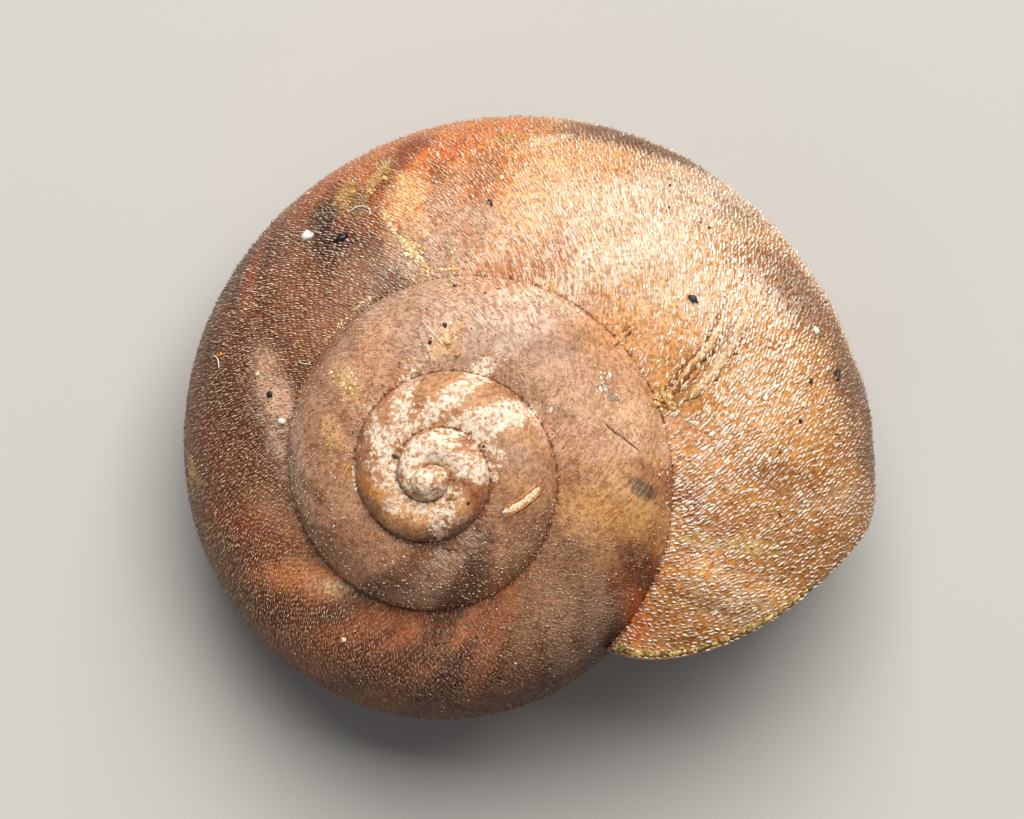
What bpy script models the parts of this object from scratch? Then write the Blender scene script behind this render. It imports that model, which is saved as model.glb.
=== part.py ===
"""Empty shell of a land snail, lying on its mouth as it comes to rest.

The shell is one grown piece: a tube that coils clockwise, seen from the apex, while it widens and
drops down the coiling axis. Here the tube is lofted once as a full body and once as the hollow
inside it, and the hollow is cut out of the body. The body reaches the tips of the short hairs that
cover the shell. Lengths are in metres, +Z is up.
"""

import math

import bmesh
import bpy
import numpy as np
from mathutils import Matrix, Vector

# The whorl at the lip, seen in a plane through the coiling axis
WHORL_RADIUS = 0.00481
WHORL_DROP = 0.00615
HALF_WIDTH = 0.00378
HALF_HEIGHT = 0.00352
SECTION_LEAN = math.radians(10.2)
SECTION_FULLNESS = 2.18

# How the tube shrinks going back from the lip: by a share for each radian, down to nothing at the
# apex, with a slow swell that makes the coil a little irregular
SHRINK_PER_RADIAN = 0.0797
NUCLEUS_SHARE = 0.0857
SPIRE_POWER = 1.144
SWELL = 0.012
NUCLEUS_RADIUS = 0.0002
NUCLEUS_DEPTH = 0.0002

# Angle around the axis where the suture ends at the lip, and how far the lip is swept back from
# there. The mouth lies in one plane, halfway between level and upright, which these few
# harmonics of the angle around the section follow.
LIP_AZIMUTH = math.radians(-41.8)
LIP_BACK = math.radians(26.0)
LIP_TOP_FORWARD = math.radians(34.0)
LIP_DIAGONAL_BACK = math.radians(10.0)
LIP_SIDES_BACK = math.radians(4.0)

# The hollow: its wall thins toward the apex, and a thin callus lies on the whorl that it meets.
# The place that its sections are seen from is given as shares of the tube's half width and height.
WALL_AT_LIP = 0.0003
WALL_AT_APEX = 0.00012
CALLUS = 0.00006
HOLLOW_TURNS = 2.3
HOLLOW_PAST_LIP = math.radians(14.0)
EYE_OUTWARD = 0.35
EYE_DOWNWARD = 0.30

# The resting pose: the top of the coiling axis leans this much, toward this direction, and the
# shell is worn flat where it touches the ground
REST_LEAN = math.radians(17.4)
REST_AZIMUTH = math.radians(208.0)
WORN_DEPTH = 0.0001
GROUND_SIZE = 0.02

# Fineness of the lofts
BODY_TURNS = 4.3
LIP_STEP = math.radians(9.5)
STEP_GROWTH = 1.007
BODY_SIDES = 30
HOLLOW_SIDES = 24
SIGHT_SAMPLES = 48
SIGHT_REFINEMENTS = 24

SHELL_COLOUR = (0.31, 0.135, 0.052, 1.0)
SHELL_ROUGHNESS = 0.5


def growth(back):
    """Size of the tube at an angle back from the lip (zero or below), against its size there."""
    share = (np.exp(SHRINK_PER_RADIAN * back) - NUCLEUS_SHARE) / (1.0 - NUCLEUS_SHARE)
    return share * (1.0 - SWELL * np.cos(2.0 * back))


def whorl_centre(back):
    """Distance from the axis and height, below the apex, of the middle of the tube."""
    size = growth(back)
    return WHORL_RADIUS * size, -WHORL_DROP * size ** SPIRE_POWER


def section_offset(around, half_width, half_height):
    """Point of the whorl's rounded section, from its middle: outward and up."""
    power = 2.0 / SECTION_FULLNESS
    across = half_width * np.sign(np.cos(around)) * np.abs(np.cos(around)) ** power
    up = half_height * np.sign(np.sin(around)) * np.abs(np.sin(around)) ** power
    lean_cos = math.cos(SECTION_LEAN)
    lean_sin = math.sin(SECTION_LEAN)
    return across * lean_cos - up * lean_sin, across * lean_sin + up * lean_cos


def outside_whorl(radius, height, back, clearance):
    """Above zero outside the whorl at that angle, grown by a clearance, and below zero inside."""
    size = growth(back)
    centre_radius, centre_height = whorl_centre(back)
    out = radius - centre_radius
    up = height - centre_height
    lean_cos = math.cos(SECTION_LEAN)
    lean_sin = math.sin(SECTION_LEAN)
    across = np.abs(out * lean_cos + up * lean_sin) / (HALF_WIDTH * size + clearance)
    along = np.abs(-out * lean_sin + up * lean_cos) / (HALF_HEIGHT * size + clearance)
    return across ** SECTION_FULLNESS + along ** SECTION_FULLNESS - 1.0


def lip_sweep(around):
    """How far back, as a negative angle, the growing edge lies at each place of the section."""
    backward = LIP_DIAGONAL_BACK * np.sin(2.0 * around) + LIP_SIDES_BACK * np.cos(2.0 * around)
    return LIP_TOP_FORWARD * np.sin(around) - backward - LIP_BACK


def place(radius, height, back):
    """Points in space from their distance from the axis, height and angle back from the lip."""
    azimuth = LIP_AZIMUTH - back
    return np.stack([radius * np.cos(azimuth), radius * np.sin(azimuth), height], axis=-1)


def body_points(back, around):
    """Outer surface of the tube."""
    size = growth(back)
    centre_radius, centre_height = whorl_centre(back)
    out, up = section_offset(around, HALF_WIDTH, HALF_HEIGHT)
    return place(centre_radius + size * out, centre_height + size * up, back)


def hollow_points(back, around):
    """Inner surface of the tube, which stops at the whorl before it.

    Each point is looked at from a place low in the outer half of the tube, and where the earlier
    whorl stands in the line of sight the point is drawn in to it.
    """
    size = growth(back)
    wall = WALL_AT_APEX + (WALL_AT_LIP - WALL_AT_APEX) * size
    centre_radius, centre_height = whorl_centre(back)
    out, up = section_offset(around, HALF_WIDTH * size - wall, HALF_HEIGHT * size - wall)
    eye_out = EYE_OUTWARD * HALF_WIDTH * size
    eye_up = -EYE_DOWNWARD * HALF_HEIGHT * size

    def sight(share):
        radius = centre_radius + eye_out + share * (out - eye_out)
        height = centre_height + eye_up + share * (up - eye_up)
        return radius, height

    def blocked(share):
        radius, height = sight(share)
        return outside_whorl(radius, height, back - 2.0 * math.pi, CALLUS) < 0.0

    near = np.zeros_like(size)
    still_clear = np.ones_like(size, dtype=bool)
    for share in np.linspace(0.0, 1.0, SIGHT_SAMPLES)[1:]:
        still_clear &= ~blocked(share)
        near = np.where(still_clear, share, near)
    far = np.where(still_clear, near, near + 1.0 / (SIGHT_SAMPLES - 1))
    for _ in range(SIGHT_REFINEMENTS):
        middle = 0.5 * (near + far)
        stopped = blocked(middle)
        far = np.where(stopped, middle, far)
        near = np.where(stopped, near, middle)
    radius, height = sight(near)
    return place(radius, height, back)


def loft(name, rows, pose, collection):
    """Closed tube through rings of points, with a fan over each end, carried by the pose.

    The section grows, drops and is swept back as it turns, which no turned or swept profile gives.
    """
    mesh = bmesh.new()
    rings = [[mesh.verts.new(point) for point in row] for row in rows]
    sides = len(rings[0])
    for first, second in zip(rings, rings[1:]):
        for index in range(sides):
            following = (index + 1) % sides
            mesh.faces.new((first[index], first[following], second[following], second[index]))
    for ring in (rings[0], rings[-1]):
        hub = mesh.verts.new(sum((vertex.co for vertex in ring), Vector()) / sides)
        for index in range(sides):
            mesh.faces.new((hub, ring[index], ring[(index + 1) % sides]))
    bmesh.ops.recalc_face_normals(mesh, faces=mesh.faces)
    data = bpy.data.meshes.new(name)
    mesh.to_mesh(data)
    mesh.free()
    solid = bpy.data.objects.new(name, data)
    solid.parent = pose
    collection.objects.link(solid)
    return solid


def row_angles(turns, past_lip):
    """Angles from so many turns back to a little past the lip, in steps that grow going back."""
    angles = [past_lip]
    step = LIP_STEP
    while angles[-1] > -2.0 * math.pi * turns:
        angles.append(angles[-1] - step)
        step *= STEP_GROWTH
    return reversed(angles)


def move_to(item, collection):
    for holder in list(item.users_collection):
        holder.objects.unlink(item)
    collection.objects.link(item)


def make_collection(name):
    collection = bpy.data.collections.new(name)
    bpy.context.scene.collection.children.link(collection)
    return collection


def combine(solid, operation, other, solid_crosses_itself=False):
    """Boolean of a solid with another, which is only a tool and isn't seen."""
    other.hide_render = True
    other.display_type = "WIRE"
    modifier = solid.modifiers.new(operation.title() + " " + other.name, "BOOLEAN")
    modifier.operation = operation
    modifier.solver = "EXACT"
    modifier.use_self = solid_crosses_itself
    modifier.object = other


def body_rows():
    """Growth lines of the whole tube, from the apex to the lip."""
    around = np.linspace(0.0, 2.0 * math.pi, BODY_SIDES, endpoint=False)
    return [body_points(angle + lip_sweep(around), around) for angle in row_angles(BODY_TURNS, 0.0)]


def hollow_rows():
    """Rings of the hollow, from its blind end to just outside the mouth."""
    around = np.linspace(0.0, 2.0 * math.pi, HOLLOW_SIDES, endpoint=False)
    return [hollow_points(angle + lip_sweep(around), around)
            for angle in row_angles(HOLLOW_TURNS, HOLLOW_PAST_LIP)]


def make_pose(rows, collection):
    """Empty on the coiling axis at the apex, leaned and lifted so that the shell lies on the ground.

    The middle of the shell, seen from above, comes to the origin.
    """
    lean_axis = Vector((-math.sin(REST_AZIMUTH), math.cos(REST_AZIMUTH), 0.0))
    lean = Matrix.Rotation(REST_LEAN, 3, lean_axis)
    points = np.concatenate(rows) @ np.array(lean).T
    low = points.min(axis=0)
    high = points.max(axis=0)
    pose = bpy.data.objects.new("coiling axis", None)
    pose.rotation_euler = lean.to_euler()
    pose.location = (-0.5 * (low[0] + high[0]), -0.5 * (low[1] + high[1]), -low[2] - WORN_DEPTH)
    collection.objects.link(pose)
    return pose


def make_nucleus(pose, cutters):
    """Bead at the apex, from which the first turn grows out."""
    bpy.ops.mesh.primitive_uv_sphere_add(segments=12, ring_count=8, radius=NUCLEUS_RADIUS,
                                         location=(0.0, 0.0, -NUCLEUS_DEPTH))
    nucleus = bpy.context.object
    nucleus.name = "nucleus"
    nucleus.parent = pose
    move_to(nucleus, cutters)
    return nucleus


def make_ground(cutters):
    """Block with its top at height zero, which wears the shell flat where it stands."""
    bpy.ops.mesh.primitive_cube_add(size=GROUND_SIZE, location=(0.0, 0.0, -0.5 * GROUND_SIZE))
    ground = bpy.context.object
    ground.name = "ground"
    move_to(ground, cutters)
    return ground


def shell_material():
    material = bpy.data.materials.new("hairy shell skin")
    material.use_nodes = True
    surface = material.node_tree.nodes["Principled BSDF"]
    surface.inputs["Base Color"].default_value = SHELL_COLOUR
    surface.inputs["Roughness"].default_value = SHELL_ROUGHNESS
    surface.inputs["Metallic"].default_value = 0.0
    return material


def make_shell(parts, cutters):
    """The grown piece: the coiled body with the hollow cut out of it."""
    rows = body_rows()
    pose = make_pose(rows, parts)
    shell = loft("shell", rows, pose, parts)
    shell.data.materials.append(shell_material())
    combine(shell, "UNION", make_nucleus(pose, cutters), solid_crosses_itself=True)
    combine(shell, "DIFFERENCE", loft("hollow", hollow_rows(), pose, cutters))
    combine(shell, "DIFFERENCE", make_ground(cutters))


def main():
    for existing in list(bpy.data.objects):
        bpy.data.objects.remove(existing)
    make_shell(make_collection("snail shell"), make_collection("cutters"))


main()
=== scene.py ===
import math

import bpy
import numpy as np
from mathutils import Matrix, Vector, noise


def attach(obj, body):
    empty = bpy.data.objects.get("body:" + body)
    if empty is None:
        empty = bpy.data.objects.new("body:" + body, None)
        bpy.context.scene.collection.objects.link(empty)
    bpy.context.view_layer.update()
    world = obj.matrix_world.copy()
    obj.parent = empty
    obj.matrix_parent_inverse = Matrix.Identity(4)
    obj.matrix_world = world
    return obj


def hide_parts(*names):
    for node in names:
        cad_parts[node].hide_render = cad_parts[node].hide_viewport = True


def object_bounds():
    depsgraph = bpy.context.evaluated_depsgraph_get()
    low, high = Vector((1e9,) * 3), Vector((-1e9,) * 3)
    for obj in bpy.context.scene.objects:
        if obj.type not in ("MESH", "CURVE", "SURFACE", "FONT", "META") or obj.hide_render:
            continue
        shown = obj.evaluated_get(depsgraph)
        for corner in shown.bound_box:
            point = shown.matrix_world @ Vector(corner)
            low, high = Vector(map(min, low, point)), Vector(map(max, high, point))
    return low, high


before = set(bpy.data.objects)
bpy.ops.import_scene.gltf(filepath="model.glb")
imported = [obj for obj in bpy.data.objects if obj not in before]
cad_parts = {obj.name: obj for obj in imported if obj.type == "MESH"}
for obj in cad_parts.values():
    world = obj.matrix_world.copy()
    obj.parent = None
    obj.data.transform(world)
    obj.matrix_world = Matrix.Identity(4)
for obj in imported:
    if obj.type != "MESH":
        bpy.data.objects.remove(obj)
cad_low, cad_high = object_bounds()


# The coil that the shell grew in, and how it lies at rest. The snail adds lime and skin at the
# mouth, so the tube widens and sinks along its axis turn by turn. Angles are counted back from the
# lip; around the tube, 0 is its outer side and 90 degrees its top.
WHORL_RADIUS = 0.00481
WHORL_DROP = 0.00615
HALF_WIDTH = 0.00378
HALF_HEIGHT = 0.00352
SECTION_LEAN = math.radians(10.2)
SECTION_FULLNESS = 2.18
SHRINK_PER_RADIAN = 0.0797
NUCLEUS_SHARE = 0.0857
SMALLEST_SIZE = 0.004
SPIRE_POWER = 1.144
SWELL = 0.012
LIP_AZIMUTH = math.radians(-41.8)
LIP_BACK = math.radians(26.0)
LIP_TOP_FORWARD = math.radians(34.0)
LIP_DIAGONAL_BACK = math.radians(10.0)
LIP_SIDES_BACK = math.radians(4.0)
REST_LEAN = math.radians(17.4)
REST_AZIMUTH = math.radians(208.0)
APEX_AT_REST = Vector((-0.00229, -0.00147, 0.00725))
FULL_TURN = 2.0 * math.pi
THINNEST = 1e-6


def coil_size(back):
    """Size of the tube at an angle back from the lip, against its size there."""
    share = (np.exp(SHRINK_PER_RADIAN * back) - NUCLEUS_SHARE) / (1.0 - NUCLEUS_SHARE)
    return np.maximum(share * (1.0 - SWELL * np.cos(2.0 * back)), SMALLEST_SIZE)


def whorl_centre(back):
    """Distance from the axis and height, below the apex, of the middle of the tube."""
    size = coil_size(back)
    return WHORL_RADIUS * size, -WHORL_DROP * size ** SPIRE_POWER


def section_offset(around, half_width, half_height):
    """Point of the tube's rounded section, from its middle: outward and up."""
    power = 2.0 / SECTION_FULLNESS
    across = half_width * np.sign(np.cos(around)) * np.abs(np.cos(around)) ** power
    up = half_height * np.sign(np.sin(around)) * np.abs(np.sin(around)) ** power
    lean_cos = math.cos(SECTION_LEAN)
    lean_sin = math.sin(SECTION_LEAN)
    return across * lean_cos - up * lean_sin, across * lean_sin + up * lean_cos


def outside_whorl(radius, height, back, clearance):
    """Above zero outside the whorl at that angle, grown by a clearance, and below zero inside."""
    size = coil_size(back)
    centre_radius, centre_height = whorl_centre(back)
    out = radius - centre_radius
    up = height - centre_height
    lean_cos = math.cos(SECTION_LEAN)
    lean_sin = math.sin(SECTION_LEAN)
    half_width = np.maximum(HALF_WIDTH * size + clearance, THINNEST)
    half_height = np.maximum(HALF_HEIGHT * size + clearance, THINNEST)
    across = np.abs(out * lean_cos + up * lean_sin) / half_width
    along = np.abs(-out * lean_sin + up * lean_cos) / half_height
    return across ** SECTION_FULLNESS + along ** SECTION_FULLNESS - 1.0


def growth_line_sweep(around):
    """How far back, as a negative angle, a growth line lies at each place around the tube."""
    backward = LIP_DIAGONAL_BACK * np.sin(2.0 * around) + LIP_SIDES_BACK * np.cos(2.0 * around)
    return LIP_TOP_FORWARD * np.sin(around) - backward - LIP_BACK


def leaning(lean, azimuth):
    """Turn that tips something standing upright toward a compass direction."""
    return Matrix.Rotation(lean, 3, Vector((-math.sin(azimuth), math.cos(azimuth), 0.0)))


rest_lean = leaning(REST_LEAN, REST_AZIMUTH)
rest_turn = np.array(rest_lean)
rest_place = np.array(APEX_AT_REST)


def at_rest(radius, height, back):
    """Points in the row frame from their distance from the axis, height and angle back."""
    azimuth = LIP_AZIMUTH - back
    points = np.stack([radius * np.cos(azimuth), radius * np.sin(azimuth), height], axis=-1)
    return points @ rest_turn.T + rest_place


# The camera stands where the photograph was taken from: nearly straight above, so that the coiling
# axis leans 13 degrees in the picture. The apex is on one named pixel and gives the scale.
PICTURE_WIDTH = 1024
PICTURE_HEIGHT = 819
APEX_PIXEL = (428.06, 475.48)
PIXELS_PER_METRE = 50000.0
CAMERA_ABOVE_APEX = 0.180
SEEN_LEAN = math.radians(13.0)
SEEN_AZIMUTH = math.radians(197.2)
FILM_WIDTH_MM = 36.0
NEAREST_SEEN = 0.005
FARTHEST_SEEN = 5.0

camera_turn = rest_lean @ leaning(SEEN_LEAN, SEEN_AZIMUTH).inverted()
camera_from_apex = Vector((
    (0.5 * PICTURE_WIDTH - APEX_PIXEL[0]) / PIXELS_PER_METRE,
    (APEX_PIXEL[1] - 0.5 * PICTURE_HEIGHT) / PIXELS_PER_METRE,
    CAMERA_ABOVE_APEX,
))
camera_data = bpy.data.cameras.new("photo_view")
camera_data.sensor_width = FILM_WIDTH_MM
camera_data.lens = FILM_WIDTH_MM * CAMERA_ABOVE_APEX * PIXELS_PER_METRE / PICTURE_WIDTH
camera_data.clip_start = NEAREST_SEEN
camera_data.clip_end = FARTHEST_SEEN
camera_data.dof.use_dof = False
camera = bpy.data.objects.new("photo_view", camera_data)
bpy.context.scene.collection.objects.link(camera)
camera.rotation_euler = camera_turn.to_euler()
camera.location = APEX_AT_REST + camera_turn @ camera_from_apex
bpy.context.scene.camera = camera
camera_inverse = np.array(camera_turn).T
camera_place = np.array(camera.location)


def picture_places(points):
    """Pixel that each point of the row frame falls on, across and down the photograph."""
    seen = (points - camera_place) @ camera_inverse.T
    spread = PIXELS_PER_METRE * CAMERA_ABOVE_APEX / -seen[..., 2]
    across = 0.5 * PICTURE_WIDTH + seen[..., 0] * spread
    down = 0.5 * PICTURE_HEIGHT - seen[..., 1] * spread
    return across, down


# The shell itself: lime under a thin horny skin, one closed wall from the nucleus to the lip. A
# sheet of growth lines is wrapped along the coil, folded over the lip and led back inside, and its
# later turns are fused on the earlier ones. Folds, dents and worn places are part of the mesh.
MM = 0.001
MM_IN_METRE = 1000.0
SHORTEST = 1e-12
SHELL_TURNS = 4.3
FINEST_STEP = math.radians(1.12)
COARSEST_STEP = math.radians(4.0)
HOLLOW_STEP = math.radians(8.0)
HOLLOW_EVEN_FROM = math.radians(20.0)
HOLLOW_TURNS = 2.2
TOP_COLUMNS = 66
SIDE_COLUMNS = 44
FUSED_COLUMNS = 14
COLUMNS = TOP_COLUMNS + SIDE_COLUMNS + FUSED_COLUMNS
LOWER_SIDE = math.radians(-15.0)
HAIR_HEIGHT = 0.00009
WORN_HEIGHT = 0.00002
HAIR_ENDS = math.radians(-390.0)
HAIR_FULL = math.radians(-340.0)
SUTURE_SINK = 0.000012
FUSED_SINK = 0.00008
CALLUS = 0.00003
WALL_AT_LIP = 0.00010
WALL_BEHIND_LIP = 0.00018
WALL_AT_APEX = 0.00009
WALL_GROWS_OVER = math.radians(14.0)
EYE_OUTWARD = 0.35
EYE_DOWNWARD = 0.30
SIGHT_SAMPLES = 40
SIGHT_REFINEMENTS = 16
NUCLEUS_ROWS = 6
BEAD_STARTS = math.radians(-1548.0)
BEAD_ENDS = math.radians(-1390.0)
BEAD_PLACE = np.array([-0.00233, -0.00158, 0.00708])
BEAD_SWELL = 1.5
FLOOR_GAP = 0.00001
THINNEST_SHARE = 0.1
DENT_HEIGHT = 0.000014
SMALL_DENT_HEIGHT = 0.000006
FOLD_HEIGHT = 0.000006
FOLD_HEIGHT_AT_LIP = 0.000038
RIPPLE_HEIGHT = 0.000004
LEAST_DEPTH = 0.000004
FOLDS_START = math.radians(-64.0)
FOLDS_WHOLE = math.radians(-12.0)
TURN_STRETCH = 5.0
AROUND_STRETCH = 0.0007
FAR_AWAY = 1e9


def smooth_step(value, low, high):
    """None at the low value and one at the high one, with a soft start and end."""
    share = np.clip((value - low) / (high - low), 0.0, 1.0)
    return share * share * (3.0 - 2.0 * share)


def speckle(points, frequency, offset):
    """Smooth random values from about -1 to 1 at points in metres, with a frequency per millimetre."""
    flat = np.reshape(points, (-1, 3)) * (MM_IN_METRE * frequency) + offset
    values = np.fromiter((noise.noise(place) for place in flat.tolist()), float, len(flat))
    return values.reshape(np.shape(points)[:-1])


def hairiness(back):
    """One where the skin still has its hairs, none where they are worn off the older whorls."""
    return smooth_step(back, low=HAIR_ENDS, high=HAIR_FULL)


# Creases and long folds, as lines drawn in the picture, with heights in metres and widths in pixels.
CREASES = (
    {"path": ((747, 196), (746, 222), (738, 250), (729, 282), (727, 304)), "height": 0.00004,
     "half_width": 7.0},
    {"path": ((730, 300), (722, 330), (704, 352), (684, 376), (668, 398)), "height": 0.00006,
     "half_width": 8.0},
    {"path": ((736, 318), (735, 345), (717, 367), (696, 392), (674, 412)), "height": 0.00005,
     "half_width": 8.0},
    {"path": ((642, 318), (628, 330), (610, 347)), "height": 0.000035, "half_width": 6.0},
    {"path": ((764, 262), (757, 300), (748, 330)), "height": 0.00004, "half_width": 8.0},
    {"path": ((664, 592), (706, 580), (748, 560), (790, 532)), "height": 0.00003, "half_width": 9.0},
)


def ridge(across, down, path, half_width):
    """One along a drawn line in the picture, falling to none about half_width pixels from it."""
    nearest = np.full(across.shape, FAR_AWAY)
    for (first_x, first_y), (next_x, next_y) in zip(path[:-1], path[1:]):
        run_x, run_y = next_x - first_x, next_y - first_y
        share = ((across - first_x) * run_x + (down - first_y) * run_y) / (run_x ** 2 + run_y ** 2)
        share = np.clip(share, 0.0, 1.0)
        gap = np.hypot(across - first_x - share * run_x, down - first_y - share * run_y)
        nearest = np.minimum(nearest, gap)
    return np.exp(-((nearest / half_width) ** 2))


def skin_depth(turn, around, back):
    """How far the skin lies under the tips of the hairs, with its folds, dents and creases."""
    size = coil_size(back)
    smooth = WORN_HEIGHT + (HAIR_HEIGHT - WORN_HEIGHT) * hairiness(back)
    radius, height = whorl_centre(back)
    out, up = section_offset(around, HALF_WIDTH * size, HALF_HEIGHT * size)
    places = at_rest(radius + out, height + up, back)
    dents = DENT_HEIGHT * speckle(places, frequency=0.7, offset=3.0)
    dents += SMALL_DENT_HEIGHT * speckle(places, frequency=2.1, offset=11.0)
    growth = np.stack([turn * TURN_STRETCH * size * MM, around * AROUND_STRETCH, 0.0 * turn], axis=-1)
    near_lip = smooth_step(turn, low=FOLDS_START, high=FOLDS_WHOLE)
    folds = (FOLD_HEIGHT + FOLD_HEIGHT_AT_LIP * near_lip) * speckle(growth, frequency=2.6, offset=40.0)
    folds += RIPPLE_HEIGHT * speckle(growth, frequency=5.5, offset=60.0)
    across, down = picture_places(places)
    on_top = (around > 0.0) & (turn > -0.5 * FULL_TURN)
    crease = sum(
        fold["height"] * ridge(across, down, fold["path"], fold["half_width"]) for fold in CREASES)
    raised = np.minimum(size * 2.0, 1.0) * (dents + folds) + on_top * crease
    return np.maximum(smooth - raised, LEAST_DEPTH)


def tube_point(turn, around, depth):
    """The tube's middle, the way from there to a point so far under the hair tips, and its angle back."""
    back = turn + growth_line_sweep(around)
    size = coil_size(back)
    radius, height = whorl_centre(back)
    half_width = np.maximum(HALF_WIDTH * size - depth, THINNEST_SHARE * HALF_WIDTH * size)
    half_height = np.maximum(HALF_HEIGHT * size - depth, THINNEST_SHARE * HALF_HEIGHT * size)
    out, up = section_offset(around, half_width, half_height)
    return radius, height, out, up, back


def contact_angle(turn, direction, limit):
    """Around the tube from its outer side, where each growth line goes under the whorl before it."""
    search = np.radians(np.arange(0.0, limit + 1.0))
    around = direction * search[None, :] + 0.0 * turn[:, None]
    radius, height, out, up, back = tube_point(turn[:, None], around, WORN_HEIGHT)
    clear = outside_whorl(radius + out, height + up, back - FULL_TURN, clearance=-WORN_HEIGHT - SUTURE_SINK)
    buried = clear < 0.0
    buried[:, -1] = True
    after = np.argmax(buried, axis=1)
    rows = np.arange(len(turn))
    clear_before = clear[rows, after - 1]
    clear_after = clear[rows, after]
    share = np.where(clear_after < 0.0, clear_before / (clear_before - clear_after), 1.0)
    return direction * np.radians(after - 1.0 + share)


def drawn_in(radius, height, out, up, back, clearance):
    """Points drawn in, along the line of sight from inside the tube, to the whorl that they meet."""
    size = coil_size(back)
    eye_out = EYE_OUTWARD * HALF_WIDTH * size
    eye_up = -EYE_DOWNWARD * HALF_HEIGHT * size

    def blocked(share):
        sight_radius = radius + eye_out + share * (out - eye_out)
        sight_height = height + eye_up + share * (up - eye_up)
        return outside_whorl(sight_radius, sight_height, back - FULL_TURN, clearance) < 0.0

    near = np.zeros_like(out)
    still_clear = np.ones_like(out, dtype=bool)
    for share in np.linspace(0.0, 1.0, SIGHT_SAMPLES)[1:]:
        still_clear &= ~blocked(share)
        near = np.where(still_clear, share, near)
    far = np.where(still_clear, near, near + 1.0 / (SIGHT_SAMPLES - 1))
    for _ in range(SIGHT_REFINEMENTS):
        middle = 0.5 * (near + far)
        stopped = blocked(middle)
        far = np.where(stopped, middle, far)
        near = np.where(stopped, near, middle)
    return radius + eye_out + near * (out - eye_out), height + eye_up + near * (up - eye_up)


def above_floor(points):
    """Points lifted, where they would sink into it, to just above the floor."""
    points[..., 2] = np.maximum(points[..., 2], FLOOR_GAP)
    return points


outside_turns = [0.0]
while outside_turns[-1] > -FULL_TURN * SHELL_TURNS:
    share = outside_turns[-1] / (-FULL_TURN * SHELL_TURNS)
    outside_turns.append(outside_turns[-1] - FINEST_STEP - share * (COARSEST_STEP - FINEST_STEP))
outside_turns = np.array(outside_turns[::-1])
rim_turns = np.radians([0.25, 0.4, 0.25])
rim_shares = np.array([0.2, 0.5, 0.8])
behind_lip_turns = np.radians([0.0, -1.0, -2.5, -4.5, -7.0, -10.0, -14.0])
even_hollow_turns = -np.arange(HOLLOW_EVEN_FROM, FULL_TURN * HOLLOW_TURNS, HOLLOW_STEP)
hollow_turns = np.concatenate([behind_lip_turns, even_hollow_turns])
row_turns = np.concatenate([outside_turns, rim_turns, hollow_turns])
row_shares = np.concatenate([0.0 * outside_turns, rim_shares, 0.0 * hollow_turns + 1.0])
ROWS = len(row_turns)

suture_angles = contact_angle(row_turns, direction=1.0, limit=165.0)
umbilicus_angles = contact_angle(row_turns, direction=-1.0, limit=185.0)
column_share = np.concatenate([
    np.linspace(0.0, 1.0, TOP_COLUMNS, endpoint=False),
    np.linspace(1.0, 2.0, SIDE_COLUMNS, endpoint=False),
    np.linspace(2.0, 3.0, FUSED_COLUMNS + 1),
])[None, :]
suture_angle = suture_angles[:, None]
umbilicus_angle = umbilicus_angles[:, None]
around = np.where(
    column_share < 1.0,
    suture_angle + column_share * (LOWER_SIDE - suture_angle),
    np.where(
        column_share < 2.0,
        LOWER_SIDE + (column_share - 1.0) * (umbilicus_angle - LOWER_SIDE),
        umbilicus_angle + (column_share - 2.0) * (suture_angle - FULL_TURN - umbilicus_angle),
    ),
)
turn = row_turns[:, None] + 0.0 * around
wall_share = row_shares[:, None]
back = turn + growth_line_sweep(around)
size = coil_size(back)
outer_depth = skin_depth(turn, around, back)
wall_full = WALL_AT_APEX + (WALL_BEHIND_LIP - WALL_AT_APEX) * size
wall = WALL_AT_LIP + (wall_full - WALL_AT_LIP) * smooth_step(-turn, low=0.0, high=WALL_GROWS_OVER)
fused = np.clip(column_share - 2.0, 0.0, 1.0)

radius, height, out, up, back = tube_point(turn, around, outer_depth)
outer_radius, outer_height = radius + out, height + up
sunk_radius, sunk_height = drawn_in(
    radius, height, out, up, back,
    -WORN_HEIGHT - SUTURE_SINK - FUSED_SINK * np.minimum(4.0 * fused * (1.0 - fused), 1.0),
)
outer_radius = np.where(fused > 0.0, sunk_radius, outer_radius)
outer_height = np.where(fused > 0.0, sunk_height, outer_height)
radius, height, out, up, back = tube_point(turn, around, outer_depth + wall)
inner_radius, inner_height = drawn_in(radius, height, out, up, back, CALLUS - WORN_HEIGHT)
outer_points = at_rest(outer_radius, outer_height, back)
inner_points = at_rest(inner_radius, inner_height, back)
skin_rows = outer_points + wall_share[..., None] * (inner_points - outer_points)
bead_share = 1.0 - smooth_step(row_turns, low=BEAD_STARTS, high=BEAD_ENDS)
bead_share = bead_share[:, None, None]
row_centres = skin_rows.mean(axis=1, keepdims=True)
bead_centres = row_centres + bead_share * (BEAD_PLACE - row_centres)
skin_rows = bead_centres + (skin_rows - row_centres) * (1.0 + BEAD_SWELL * bead_share)
cap = np.sin(0.5 * math.pi * np.minimum(np.arange(ROWS) / NUCLEUS_ROWS, 1.0))[:, None, None]
cap_centre = skin_rows[NUCLEUS_ROWS].mean(axis=0)
skin_rows[:NUCLEUS_ROWS] = cap_centre + cap[:NUCLEUS_ROWS] * (skin_rows[:NUCLEUS_ROWS] - cap_centre)
skin_rows[-1] = skin_rows[-1].mean(axis=0)
skin_rows = above_floor(skin_rows)

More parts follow.
